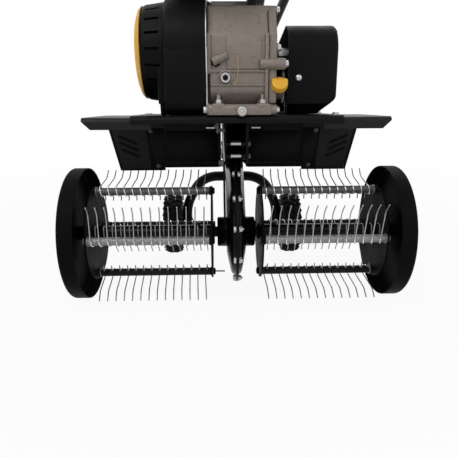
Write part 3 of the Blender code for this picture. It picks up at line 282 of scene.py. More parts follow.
def scuff_effect():
    """Sparse streaks where paint or plating is rubbed."""
    tree, given, result = effect("scuffs", (("Scale", 90.0), ("Start", 0.66), ("End", 0.78)), ("Mask",))
    place = node(tree, "ShaderNodeTexCoord")
    stretch = node(tree, "ShaderNodeMapping")
    stretch.inputs["Scale"].default_value = (1.0, 0.35, 1.6)
    noise = node(tree, "ShaderNodeTexNoise")
    noise.inputs["Detail"].default_value = 6.0
    noise.inputs["Roughness"].default_value = 0.65
    ramp = node(tree, "ShaderNodeMapRange")
    tree.links.new(place.outputs["Object"], stretch.inputs["Vector"])
    tree.links.new(stretch.outputs["Vector"], noise.inputs["Vector"])
    tree.links.new(given.outputs["Scale"], noise.inputs["Scale"])
    tree.links.new(noise.outputs["Fac"], ramp.inputs["Value"])
    tree.links.new(given.outputs["Start"], ramp.inputs["From Min"])
    tree.links.new(given.outputs["End"], ramp.inputs["From Max"])
    tree.links.new(ramp.outputs["Result"], result.inputs["Mask"])
    return tree


def dust_effect():
    """A film that settles on what faces up, broken by noise."""
    tree, given, result = effect("settled_dust", (("Amount", 0.2),), ("Mask",))
    shape = node(tree, "ShaderNodeNewGeometry")
    parts = node(tree, "ShaderNodeSeparateXYZ")
    place = node(tree, "ShaderNodeTexCoord")
    noise = node(tree, "ShaderNodeTexNoise")
    noise.inputs["Scale"].default_value = 55.0
    noise.inputs["Detail"].default_value = 5.0
    up = node(tree, "ShaderNodeMapRange")
    up.inputs["From Min"].default_value = 0.2
    patch = node(tree, "ShaderNodeMath", operation="MULTIPLY")
    share = node(tree, "ShaderNodeMath", operation="MULTIPLY")
    tree.links.new(shape.outputs["Normal"], parts.inputs["Vector"])
    tree.links.new(parts.outputs["Z"], up.inputs["Value"])
    tree.links.new(place.outputs["Object"], noise.inputs["Vector"])
    tree.links.new(up.outputs["Result"], patch.inputs[0])
    tree.links.new(noise.outputs["Fac"], patch.inputs[1])
    tree.links.new(patch.outputs["Value"], share.inputs[0])
    tree.links.new(given.outputs["Amount"], share.inputs[1])
    tree.links.new(share.outputs["Value"], result.inputs["Mask"])
    return tree


GRAIN, SCUFFS, DUST = speckle_effect(), scuff_effect(), dust_effect()
DUST_COLOUR = (0.20, 0.18, 0.15)


def finish(name, slot, colour, rubbed, rough, grain, metal=0.0, dust=0.0, scuff=(90, 0.66, 0.78), shine=0.5):
    """A procedural finish: two colours mixed by scuffs, dust on top, patchy roughness and a grain."""
    fine, broad, bump = grain
    mat = bpy.data.materials.new(name)
    mat.use_nodes = True
    mat["slot"] = slot
    tree = mat.node_tree
    shader = tree.nodes["Principled BSDF"]
    shader.inputs["Metallic"].default_value = metal
    shader.inputs["Specular IOR Level"].default_value = shine
    speckle = node(tree, "ShaderNodeGroup", node_tree=GRAIN)
    speckle.inputs["Fine"].default_value = fine
    speckle.inputs["Broad"].default_value = broad
    worn = node(tree, "ShaderNodeGroup", node_tree=SCUFFS)
    for label, value in zip(("Scale", "Start", "End"), scuff):
        worn.inputs[label].default_value = value
    film = node(tree, "ShaderNodeGroup", node_tree=DUST)
    film.inputs["Amount"].default_value = dust
    blend = colour_mix(tree, worn.outputs["Mask"], colour, rubbed)
    dusty = colour_mix(tree, film.outputs["Mask"], None, DUST_COLOUR)
    tree.links.new(blend.outputs["Result"], dusty.inputs["A"])
    tree.links.new(dusty.outputs["Result"], shader.inputs["Base Color"])
    gloss = node(tree, "ShaderNodeMapRange")
    gloss.inputs["From Min"].default_value = 0.3
    gloss.inputs["From Max"].default_value = 0.7
    gloss.inputs["To Min"].default_value = rough[0]
    gloss.inputs["To Max"].default_value = rough[1]
    tree.links.new(speckle.outputs["Patch"], gloss.inputs["Value"])
    tree.links.new(gloss.outputs["Result"], shader.inputs["Roughness"])
    relief = node(tree, "ShaderNodeBump")
    relief.inputs["Strength"].default_value = bump
    relief.inputs["Distance"].default_value = 0.0004
    tree.links.new(speckle.outputs["Height"], relief.inputs["Height"])
    tree.links.new(relief.outputs["Normal"], shader.inputs["Normal"])
    return mat


def colour_mix(tree, factor, first, second):
    mixed = tree.nodes.new("ShaderNodeMix")
    mixed.data_type = "RGBA"
    colours = [socket for socket in mixed.inputs if socket.type == "RGBA"]
    if first:
        colours[0].default_value = (*first, 1)
    colours[1].default_value = (*second, 1)
    tree.links.new(factor, mixed.inputs["Factor"])
    return MixSockets(mixed, colours)


class MixSockets:
    """The colour sockets of a mix node by name."""

    def __init__(self, mixed, colours):
        self.inputs = {"A": colours[0], "B": colours[1]}
        self.outputs = {"Result": next(socket for socket in mixed.outputs if socket.type == "RGBA")}


BLACK = finish(
    "satin_black", "black_paint", (0.0048, 0.0046, 0.0056), (0.011, 0.011, 0.012),
    (0.34, 0.46), (900, 30, 0.10), dust=0.01, shine=0.08,
)
CASE_BLACK = finish(
    "gloss_black", "black_paint", (0.003, 0.003, 0.0035), (0.008, 0.008, 0.009),
    (0.16, 0.28), (600, 26, 0.06), shine=0.10,
)
MOULDED = finish(
    "moulded_black", "black_plastic", (0.0034, 0.0033, 0.004), (0.006, 0.006, 0.0065),
    (0.40, 0.55), (2600, 40, 0.25), dust=0.006, shine=0.07,
)
REEL_BLACK = finish(
    "reel_black", "black_paint", (0.0036, 0.0036, 0.0042), (0.008, 0.008, 0.009),
    (0.46, 0.58), (900, 30, 0.10), shine=0.03,
)
# A lighter black than the deck's satin black; part of that is painted light, where the light falls on the fender
# lips.
FENDER = finish(
    "fender_black", "black_paint", (0.0105, 0.0105, 0.012), (0.02, 0.02, 0.022),
    (0.34, 0.46), (900, 30, 0.10), dust=0.012, shine=0.13,
)
# A flat black for the beds of the pressed grooves and the plug's hex socket, which is painted shade in those hollows,
# and for the seal rings round the plug and drain bolt.
SHADE_FILL = finish(
    "painted_shade_black", "black_paint", (0.003, 0.003, 0.0035), (0.005, 0.005, 0.005),
    (0.6, 0.7), (1200, 40, 0.1), shine=0.1,
)
HOT_BLACK = finish(
    "heat_black", "black_paint", (0.014, 0.013, 0.013), (0.05, 0.035, 0.028),
    (0.55, 0.75), (1400, 60, 0.35), dust=0.06, shine=0.3,
)
TYRE = finish(
    "tyre_rubber", "rubber", (0.006, 0.006, 0.006), (0.016, 0.015, 0.014),
    (0.72, 0.9), (1800, 70, 0.35), dust=0.04, shine=0.15,
)
GRIP = finish(
    "grip_rubber", "rubber", (0.010, 0.010, 0.010), (0.02, 0.02, 0.02),
    (0.6, 0.75), (2200, 60, 0.30), dust=0.04, shine=0.3,
)
WIRE = finish(
    "spring_wire", "bright_steel", (0.24, 0.235, 0.23), (0.09, 0.085, 0.08),
    (0.28, 0.44), (2400, 160, 0.12), 0.85, scuff=(240, 0.52, 0.68),
)
# A lighter copy of the spring wire, for the front row's legs only: painted light, where the light falls on that row.
FRONT_LIT_WIRE = finish(
    "front_row_painted_light_wire", "bright_steel", (0.46, 0.45, 0.44), (0.24, 0.23, 0.22),
    (0.24, 0.40), (2400, 160, 0.12), 0.9, scuff=(240, 0.56, 0.72),
)
# A near-white wire for the half turns round the sleeves: a painted highlight where the tines cross their sleeves.
HIGHLIGHT_WIRE = finish(
    "painted_highlight_wire", "bright_steel", (0.88, 0.87, 0.85), (0.55, 0.54, 0.52),
    (0.26, 0.40), (2400, 160, 0.12), 0.8, scuff=(240, 0.60, 0.76),
)
SLEEVE = finish(
    "zinc_sleeve", "bright_steel", (0.27, 0.27, 0.267), (0.14, 0.14, 0.138),
    (0.40, 0.58), (1600, 180, 0.22), 0.6, scuff=(300, 0.48, 0.66),
)
# Darker grey steel: the own colour of the hood screws, the selector bracket and the cross-bolt heads, and painted
# shade on the top row of sleeves.
DIM_STEEL_AND_SHADE = finish(
    "dim_steel_and_painted_shade", "bright_steel", (0.10, 0.10, 0.10), (0.055, 0.055, 0.055),
    (0.42, 0.58), (1600, 180, 0.22), 0.5, scuff=(300, 0.48, 0.66),
)
# Near-black steel: the own colour of the axle, hub pin and bearing ends, and painted shade on the rear and bottom
# rows of sleeves.
DARK_STEEL_AND_SHADE = finish(
    "dark_steel_and_painted_shade", "bright_steel", (0.008, 0.008, 0.0085), (0.022, 0.022, 0.022),
    (0.38, 0.55), (1600, 180, 0.22), scuff=(300, 0.56, 0.74), shine=0.14,
)
BOLT = finish(
    "bolt_steel", "bright_steel", (0.50, 0.49, 0.475), (0.26, 0.245, 0.225),
    (0.24, 0.42), (1800, 200, 0.10), 0.85, scuff=(320, 0.54, 0.72),
)
ZINC = finish(
    "zinc_steel", "zinc_steel", (0.30, 0.30, 0.295), (0.18, 0.175, 0.17),
    (0.32, 0.50), (1500, 120, 0.15), 0.8,
)
CAST = finish(
    "cast_grey", "cast_aluminium", (0.21, 0.177, 0.15), (0.13, 0.108, 0.09),
    (0.48, 0.64), (1300, 70, 0.40), 0.3, 0.03, (150, 0.52, 0.72),
)
# A bright metal finish along the fan housing's edge: a painted highlight.
HIGHLIGHT_EDGE = finish(
    "painted_highlight_edge", "cast_aluminium", (0.52, 0.52, 0.51), (0.38, 0.38, 0.37),
    (0.25, 0.4), (1600, 120, 0.1), 0.85,
)
YELLOW = finish(
    "yellow_plastic", "yellow_plastic", (0.76, 0.40, 0.018), (0.82, 0.50, 0.06),
    (0.34, 0.46), (2200, 60, 0.15),
)
SEALANT = finish(
    "sealant", "yellow_plastic", (0.34, 0.26, 0.14), (0.42, 0.34, 0.2),
    (0.5, 0.6), (1200, 80, 0.2),
)

KEPT = {
    "black_paint": BLACK, "black_plastic": MOULDED, "rubber": TYRE, "bright_steel": BOLT, "zinc_steel": ZINC,
    "cast_aluminium": CAST, "yellow_plastic": YELLOW,
}
for name, shown in NODES.items():
    slot = next(s["material_slot"] for s in frame["record"]["subparts"] if s["node"] == name)
    dark_end = name.endswith(("reel_axle", "hub_pin", "axle_bearing"))
    shown.data.materials.clear()
    shown.data.materials.append(DARK_STEEL_AND_SHADE if dark_end else KEPT[slot])


# Reels

INNER, OUTER, BAR_CIRCLE, SLEEVE_R, WIRE_R = 46.0, 269.0, 80.0, 7.4, 1.1
TINES = 14
PITCH = (OUTER - INNER) / (TINES + 0.6)
PHASE = math.radians(4)


def heading(degrees):
    return Vector((math.cos(math.radians(degrees)), math.sin(math.radians(degrees))))


def tine(x):
    """A spring tine in three lengths: tip, knee and leg; half a turn round the sleeve; tail."""
    turn_radius = SLEEVE_R + WIRE_R + 0.1
    start = turn_radius * heading(-14)
    knee = start + 54.6 * heading(76)
    tip = knee + 20.6 * heading(45)

    def put(point, along):
        return Vector((x + along, -BAR_CIRCLE - point.x, point.y))

    foot = put(start + 4 * heading(76), -2.4)
    leg = bent([put(tip, 0.6), put(knee, -0.3), foot], 6, 4)
    turn = [put(turn_radius * heading(-14 - 163 * i / 8), -2.4 + 4.8 * i / 8) for i in range(9)]
    root = turn_radius * heading(183)
    bend = root + 25 * heading(93)
    tail = bent([put(root + 3 * heading(93), 2.4), put(bend, 2.0), put(bend + 10.5 * heading(186), 1.6)], 4, 3)
    return leg, [foot] + turn + tail[:1], tail


def bar():
    """A tine bar: threaded ends and a row of sleeves."""
    profile = [(INNER - 5.8, 0), (INNER - 5.8, 4.4), (INNER - 5.2, 5), (INNER + 1.8, 5), (INNER + 1.8, SLEEVE_R)]
    for i in range(TINES):
        joint = INNER + PITCH * (i + 1.3)
        if joint < OUTER - 3:
            profile += [(joint - 0.4, SLEEVE_R), (joint, SLEEVE_R - 0.4), (joint + 0.4, SLEEVE_R)]
    profile += [(OUTER - 1.8, SLEEVE_R), (OUTER - 1.8, 5), (OUTER + 5.2, 5), (OUTER + 5.8, 4.4), (OUTER + 5.8, 0)]
    return spun(profile, 24, (0, -BAR_CIRCLE, 0))


def row_nut(x, out):
    """A nut outside a disc and the collar inside it, at one end of a tine bar."""
    near, far = x - out * 1.7, x - out * 4.2
    collar = spun([(near, 7), (near, 9), (far, 9), (far, 7)], 24, (0, -BAR_CIRCLE, 0), closed=True)
    return together(bolt((x + out * 1.6, -BAR_CIRCLE, 0), (out, 0, 0), 12, 3.6, 6.6), collar)


# Each row has its own sleeve and wire finish: the front row lighter and the top, rear and bottom rows darker, as
# painted light and painted shade from where the light falls.
ROW_SHADED_SLEEVES = (SLEEVE, DIM_STEEL_AND_SHADE, DARK_STEEL_AND_SHADE, DARK_STEEL_AND_SHADE)
ROW_LIT_WIRES = (FRONT_LIT_WIRE, WIRE, WIRE, WIRE)


def tine_rows():
    tines = [tine(INNER + PITCH * (i + 0.8)) for i in range(TINES)]
    legs, turns, tails = (pipe(list(paths), WIRE_R, 1) for paths in zip(*tines))
    rods, inner_nut, outer_nut = bar(), row_nut(INNER, -1), row_nut(OUTER, 1)
    for side, name in SIDES:
        for i in range(4):
            shift = Matrix.Translation((0 if side > 0 else -INNER - OUTER, 0, 0))
            turn = Matrix.Rotation(-PHASE - math.pi / 2 * i, 4, "X") @ shift
            label = f"{name}_row_{i + 1}"
            nuts = (inner_nut, outer_nut) if side > 0 else (outer_nut, inner_nut)
            # Legs and sleeves take their row's lighter or darker copy as painted light and shade; the half turns
            # carry the painted highlight.
            piece(f"{label}_tines", copied(legs, turn), ROW_LIT_WIRES[i], "reel", f"{name}_tine_row_{i + 1}")
            piece(f"{label}_tine_turns", copied(turns, turn), HIGHLIGHT_WIRE, "reel")
            piece(f"{label}_tine_tails", copied(tails, turn), WIRE, "reel")
            piece(f"{label}_sleeves", copied(rods, turn), ROW_SHADED_SLEEVES[i], "reel")
            piece(f"{label}_inner_nut", copied(nuts[0], turn), REEL_BLACK, "reel", crease=25)
            piece(f"{label}_outer_nut", copied(nuts[1], turn), SLEEVE, "reel", crease=25)
    for bm in (legs, turns, tails, rods, inner_nut, outer_nut):
        bm.free()
    tail = pipe([[(-22, 0, -BAR_CIRCLE), (-INNER, 0, -BAR_CIRCLE)]], 1.6, 2)
    bmesh.ops.rotate(tail, cent=(0, 0, 0), matrix=Matrix.Rotation(-PHASE, 3, "X"), verts=tail.verts)
    piece("left_row_4_rod_end", tail, WIRE, "reel")


def corner(centre, radius, start, end, steps=5):
    """Points of a rounded corner, angles in degrees."""
    return [Vector(centre) + radius * heading(start + (end - start) * i / steps) for i in range(steps + 1)]


def reel_ends(side, name):
    """Centre tube with its two discs, and the pan-shaped dish on its outer end."""
    tube = spun([(44.5, 11), (44.5, 13.8), (306, 13.8), (306, 11)], 40, closed=True)
    discs = []
    for x in (INNER, OUTER):
        flat = [(x - 1.5, 12), (x - 1.5, 88.4), (x - 0.9, 89), (x + 0.9, 89), (x + 1.5, 88.4), (x + 1.5, 12)]
        discs.append(spun(flat, 72, closed=True))
        for sign in (-1, 1):
            weld = ((1.2, 12.5), (1.2, 17.4), (2.4, 16.4), (4.2, 14.2), (4.6, 12.5))
            discs.append(spun([(x + sign * a, radius) for a, radius in weld], 36, closed=True))
    discs = together(*discs)
    if side < 0:
        for bm in (tube, discs):
            bmesh.ops.scale(bm, vec=(-1, 1, 1), verts=bm.verts)
    piece(f"{name}_reel_discs", discs, REEL_BLACK, "reel", f"{name}_reel_frame", crease=40)
    piece(f"{name}_reel_tube", tube, CASE_BLACK, "reel", crease=40)
    outside = [(306.2, 0), (306.2, 46), (306.8, 48), (308.0, 51), (308.5, 53.5)]
    outside += corner((302.5, 119), 6, 0, 90) + [(282, 125)] + corner((280.4, 124.1), 0.9, 90, 180, 4)
    inside = corner((280.4, 123.9), 0.9, 180, 270, 4) + corner((302.0, 118.5), 4.5, 90, 0)
    inside += [(306.5, 54.5), (306.0, 52.5), (304.8, 49.5), (304.2, 47), (304.2, 0)]
    pan = spun(outside + inside, 128)
    fittings = [bolt((305.9, 0, 0), (1, 0, 0), 19, 2.4)]
    for i in range(4):
        at = Matrix.Rotation(math.pi / 4 + math.pi / 2 * i, 3, "X") @ Vector((305.9, 34, 0))
        fittings.append(bolt(at, (1, 0, 0), 13, 2.4))
    fixed = together(*fittings)
    if side < 0:
        for bm in (pan, fixed):
            bmesh.ops.scale(bm, vec=(-1, 1, 1), verts=bm.verts)
    piece(f"{name}_pan", pan, REEL_BLACK, "reel", f"{name}_dish", crease=35)
    piece(f"{name}_pan_bolts", fixed, BOLT, "reel", crease=25)


# Chain case

INPUT = (250.0, 279.0)


def arc(centre, radius, start, end, steps):
    angles = [math.radians(start + (end - start) * i / steps) for i in range(steps + 1)]
    return [(centre[0] + radius * math.cos(a), centre[1] + radius * math.sin(a)) for a in angles]


def teardrop(low_r, high_r, steps=28):
    """The outline of a band round the axle and the input shaft."""
    reach = Vector(INPUT)
    course = math.degrees(math.atan2(reach.y, reach.x))
    lean = math.degrees(math.asin((low_r - high_r) / reach.length))
    low = arc((0, 0), low_r, course + 90 - lean, course + 270 + lean, steps)
    return low + arc(INPUT, high_r, course - 90 + lean, course + 90 - lean, steps)


def raised(bm, face, inset, rise):
    """Draws a face in and lifts it."""
    bmesh.ops.inset_region(bm, faces=[face], thickness=inset, depth=rise, use_even_offset=True)


def case_half(side, name):
    bm = slab(teardrop(97, 53), 0.15, 2.6)
    top = max(bm.faces, key=lambda f: f.calc_center_median().x)
    raised(bm, top, 0.5, 0.4)
    raised(bm, top, 11.5, 0)
    wall = ((1.6, 1.4), (1.2, 2.6), (1.8, 1.8), (2.8, 1.2))
    slope = ((4, 1.2), (6, 1.3), (8, 1.7), (9, 1.8), (8, 1.5), (4, 0.5))
    for inset, rise in wall + slope:
        raised(bm, top, inset, rise)
    bosses = []
    for y, z in ((0, 0), INPUT):
        bore = 0 if z else 11.0
        neck = [(9, bore), (9, 31), (16.5, 30), (18.5, 29), (33.5, 28.6), (35.2, 27.6), (36, 26), (36, 17.5)]
        bosses.append(spun(neck + [(34.6, 16.5), (34.6, bore)], 48, (0, y, z), closed=not z))
    whole = together(bm, *bosses)
    if side < 0:
        bmesh.ops.scale(whole, vec=(-1, 1, 1), verts=whole.verts)
    piece(f"case_{name}", whole, CASE_BLACK, "body", f"case_{name}_half", crease=38)


def case_bolts():
    """Head on the left, nut on the right, all round the flange."""
    edge = heading(math.degrees(math.atan2(INPUT[1], INPUT[0])) + 90 - 6.75)
    along = Vector((edge.y, -edge.x))
    places = [90.5 * edge + along * t for t in (10, 68, 262)]
    places += [90.5 * heading(a) for a in (162.5, 199.6, 246, 285)]
    rear = Vector((math.cos(math.radians(-35.1)), math.sin(math.radians(-35.1))))
    places += [90.5 * rear + Vector((-rear.y, rear.x)) * t for t in (20, 110, 200, 290)]
    places += [Vector(INPUT) + 46.5 * heading(a) for a in (10, 70)]
    shapes = []
    for y, z in places:
        shapes.append(bolt((-3.0, y, z), (-1, 0, 0), 10, 4.2, 6.2))
        shapes.append(bolt((3.0, y, z), (1, 0, 0), 10, 5.2, 6.2))
        shapes.append(stud((8.0, y, z), (1, 0, 0), 2.9, 3))
    piece("case_bolts", together(*shapes), BOLT, "body", "case_bolt_1", "case_bolt_2", "case_bolt_3", crease=25)


# Hood

DECK_TOP, SHEET = 222.0, 2.5


def channel(grow, lip, drop, t=SHEET):
    """Cross-section of the hood, bent from sheet: front lip, top, rear flap."""
    top, front, rear = DECK_TOP - SHEET - 0.3 + grow, 76 + grow, 126 + grow
    near, far = 6 + t, 12 + t
    outer = [(-front, top - lip)] + arc((-front + near, top - near), near, 180, 90, 5)
    outer += arc((rear - far, top - far), far, 90, 0, 7) + [(rear, drop)]
    inner = [(rear - t, drop)] + arc((rear - far, top - far), far - t, 0, 90, 7)
    inner += arc((-front + near, top - near), near - t, 90, 180, 5) + [(-front + t, top - lip)]
    return outer + inner


def groove(i, side, width, lo, hi):
    """The shape of one of the pressed grooves in a flap, with round ends."""
    reach = 22 - width / 2
    outline = arc((reach, 0), width / 2, -90, 90, 6) + arc((-reach, 0), width / 2, 90, 270, 6)
    bm = slab(outline, lo, hi, "Y")
    turn = Matrix.Rotation(-side * math.radians(22.5), 4, "Y")
    turn = Matrix.Translation((side * (223.5 - 2.75 * i), 0, 168.5 - 13.8 * i)) @ turn
    bmesh.ops.transform(bm, matrix=turn, verts=bm.verts)
    return bm


def hood():
    deck = slab(channel(SHEET + 0.3, 13, 110), -180, 180)
    slot = box((-26.5, 26.5), (100.3, 200), (0, 300))
    piece("hood_deck", cut(deck, slot), BLACK, "body", "deck", crease=30, soft=0.5)
    for side, name in SIDES:
        shape = slab(channel(0, 20, 104), *sorted((side * 146, side * 262)))
        flap_cut = slab([(side * 263, 202), (side * 290, 202), (side * 290, 80), (side * 230, 80)], 100, 150, "Y")
        lip_cut = slab([(side * 263, 214), (side * 280, 214), (side * 280, 190), (side * 238, 190)], -90, -60, "Y")
        tools = [flap_cut, lip_cut]
        for i in range(3):
            tools.append(groove(i, side, 6, 110, 124.7))
        piece(f"hood_{name}_fender", cut(shape, *tools), FENDER, "body", f"{name}_fender", crease=30, soft=0.5)
        # Thin dark beds in the bottoms of the pressed grooves: painted shade.
        painted_shade_beds = [groove(i, side, 5.6, 124.4, 124.75) for i in range(3)]
        piece(f"hood_{name}_grooves", together(*painted_shade_beds), SHADE_FILL, "body")
        strip = [(side * 147, 104.8), (side * 147, 192), (side * 180, 192), (side * 170.7, 104.8)]
        ridge = [(side * 181, 192), (side * 184.5, 192), (side * 175.2, 104.8), (side * 171.7, 104.8)]
        border = [(side * 262.6, 194), (side * 258, 194), (side * 236.7, 104.8), (side * 241.2, 104.8)]
        hem = [(side * 150, 104.3), (side * 239, 104.3), (side * 238, 108.8), (side * 150, 108.8)]
        folds = ((strip, 121.4, 0.8), (ridge, 120.6, 1.2), (border, 121.6, 0.7), (hem, 119.6, 1.0))
        trims = [rounded(slab(outline, lo, 123.6, "Y"), soft) for outline, lo, soft in folds]
        piece(f"hood_{name}_strips", together(*trims), BLACK, "body", crease=30)
        lower = [rounded(box(sorted((side * 30, side * 146)), (119.2, 126.5), (110.2, 114.5)), 1.2)]
        lower.append(rounded(box(sorted((side * 34, side * 142)), (124.6, 126.6), (122, 186)), 0.9))
        piece(f"hood_{name}_panel", together(*lower), BLACK, "body", crease=30)
        screws = [round_head((side * x, 121.4, z), (0, -1, 0)) for x, z in ((160, 113.5), (174, 187))]
        piece(f"hood_{name}_screws", together(*screws), DIM_STEEL_AND_SHADE, "body", crease=25)
        height = 4 if side > 0 else 1.6
        studs = [bolt((side * 171, y, DECK_TOP), (0, 0, 1), 10, height, 7) for y in (-52, 92)]
        piece(f"hood_{name}_studs", together(*studs), BOLT, "body", crease=25)


def rods():
    """The steel selector rod beside the case, its bracket and the cross bolts' clamps."""
    rod = bent([(-25, -20, 212), (-23.5, -21, 172), (-22, -21, 139)], 10)
    piece("selector_rod", pipe([rod], 1.7, 3), ZINC, "body")
    lower = bent([(-22.5, -21, 139), (-22.5, -40, 100), (-22.5, -60, 66), (-22, -72, 30)], 10)
    piece("selector_link", pipe([lower], 1.9, 3), REEL_BLACK, "body")
    eye = together(
        rounded(box((-33, -20), (-26, -15), (192, 198)), 1.2),
        rounded(box((-36, -31.5), (-28, -12), (190, 219)), 1.0),
        bolt((-36, -20, 204), (-1, 0, 0), 10, 4, 6),
        rounded(box((-28, -23.2), (-28, -14), (130, 141)), 1.5),
        bolt((-28, -21, 135.5), (-1, 0, 0), 10, 4.5, 6.5),
    )
    piece("selector_bracket", eye, DIM_STEEL_AND_SHADE, "body", crease=28)
    tabs = [rounded(box((x, x + 15), (-75.5, -70), (200.4, 202.6)), 0.6) for x in (-53, 24)]
    piece("deck_tabs", together(*tabs), ZINC, "body")
    shanks, collars, heads = [], [], []
    for z, r in ((170, 4.2), (147, 4.0)):
        shanks.append(spun([(-22.6, 0), (-22.6, r), (22.6, r), (22.6, 0)], 24, (0, -6, z)))
        heads += [bolt((out * 23.1, -6, z), (out, 0, 0), 9, 4, 5.5) for out in (-1, 1)]
        for x in (-21.6, 9.6):
            ring = [(x, 3), (x, 6.4), (x + 12, 6.4), (x + 12, 3)]
            collars.append(spun(ring, 28, (0, -6, z), closed=True))
    piece("cross_bolt_heads", together(*heads), DIM_STEEL_AND_SHADE, "body", crease=25)
    piece("cross_bolt_collars", together(*collars), CASE_BLACK, "body", crease=30)
    piece("cross_bolts", together(*shanks), BOLT, "body", "upper_cross_bolt", "lower_cross_bolt", crease=25)


# Transport wheels


def wheels():
    axle_y, axle_z = 270.0, -50.5
    legs = [(73.5, 262, 70), (111.6, axle_y, -3), (111.2, axle_y, axle_z - 2)]
    path = bent([(-x, y, z) for x, y, z in reversed(legs)] + legs, 40, 12)
    arch = pipe([path], 11.8, 6)
    stem = slab([(284, 128), (254, 66), (270, 74)] + arc((296, 128), 12, 0, 180, 14)[:-1], -17.2, 17.2)
    stem = cut(rounded(stem, 1.2), spun([(-30, 0), (-30, 5.6), (30, 5.6), (30, 0)], 24, (0, 296, 128)))
    ends = []
    for side, _ in SIDES:
        x0, x1 = side * 98, side * 123.4
        ends.append(spun([(x0, 0), (x0, 13), (x1, 13), (x1, 0)], 28, (0, axle_y, axle_z)))
        x0, x1 = side * 96.5, side * 168
        ends.append(spun([(x0, 0), (x0, 7), (x1, 7), (x1, 0)], 24, (0, axle_y, axle_z)))
    piece("yoke", together(arch, stem, *ends), BLACK, "yoke", "wheel_yoke", crease=40)
    for side, name in SIDES:
        wheel(side * 146, axle_y, axle_z, side, name)


def wheel(x, y, z, side, name):
    """A tyre with a round crown and staggered chevron blocks, on a ribbed rim."""
    body = f"{name}_wheel"
    half = [(0, 71.6), (9, 70.8), (16, 68), (20, 63.6), (21.8, 57), (21.6, 48), (20, 44)]
    casing = [(-a, r) for a, r in reversed(half)] + half[1:]
    parts = [spun(casing, 64, (x, y, z), closed=True)]
    crown = rounded(box((1.0, 10.4), (-5.4, 5.4), (66, 74.2)), 1.2)
    shoulder = rounded(box((11.4, 20.6), (-5.0, 5.0), (62.5, 71.4)), 1.2)
    lean, skew = Matrix.Rotation(math.radians(26), 3, "Y"), Matrix.Rotation(math.radians(20), 3, "Z")
    bmesh.ops.rotate(shoulder, cent=(16, 0, 67), matrix=lean, verts=shoulder.verts)
    block = together(crown, shoulder)
    bmesh.ops.rotate(block, cent=(10, 0, 66), matrix=skew, verts=block.verts)
    count = 24
    for i in range(count):
        for sign in (-1, 1):
            turn = Matrix.Rotation(2 * math.pi * (i + (0.5 if sign > 0 else 0)) / count, 4, "X")
            flip = Matrix.Scale(-1, 4, (1, 0, 0)) if sign < 0 else Matrix()
            parts.append(copied(block, Matrix.Translation((x, y, z)) @ turn @ flip))
    block.free()
    piece(f"{name}_tyre_tread", together(*parts), TYRE, body, f"{name}_tyre")
    half = [(21, 43.6), (21, 41), (19, 39), (8, 38), (5, 34), (5, 20), (7, 17), (20, 16), (22, 14), (22, 7.6)]
    parts = [spun([(-a, r) for a, r in reversed(half)] + half, 56, (x, y, z), closed=True)]
    rib = rounded(box((-16, 16), (-2, 2), (15, 39)), 0.9)
    for i in range(6):
        parts.append(copied(rib, Matrix.Translation((x, y, z)) @ Matrix.Rotation(math.pi / 3 * i, 4, "X")))
    rib.free()
    piece(f"{name}_rim_ribs", together(*parts), MOULDED, body, f"{name}_rim", crease=35)
    cap = [(0, 0), (0, 11), (1.5, 12), (3, 11), (4, 7), (4, 0)]
    piece(f"{name}_axle_cap", aimed(spun(cap, 28), (side * 164.4, y, z), (side, 0, 0)), BOLT, "yoke")


# Engine

CRANK = (0.0, 14.0, 328.3)
BASE = 222.3


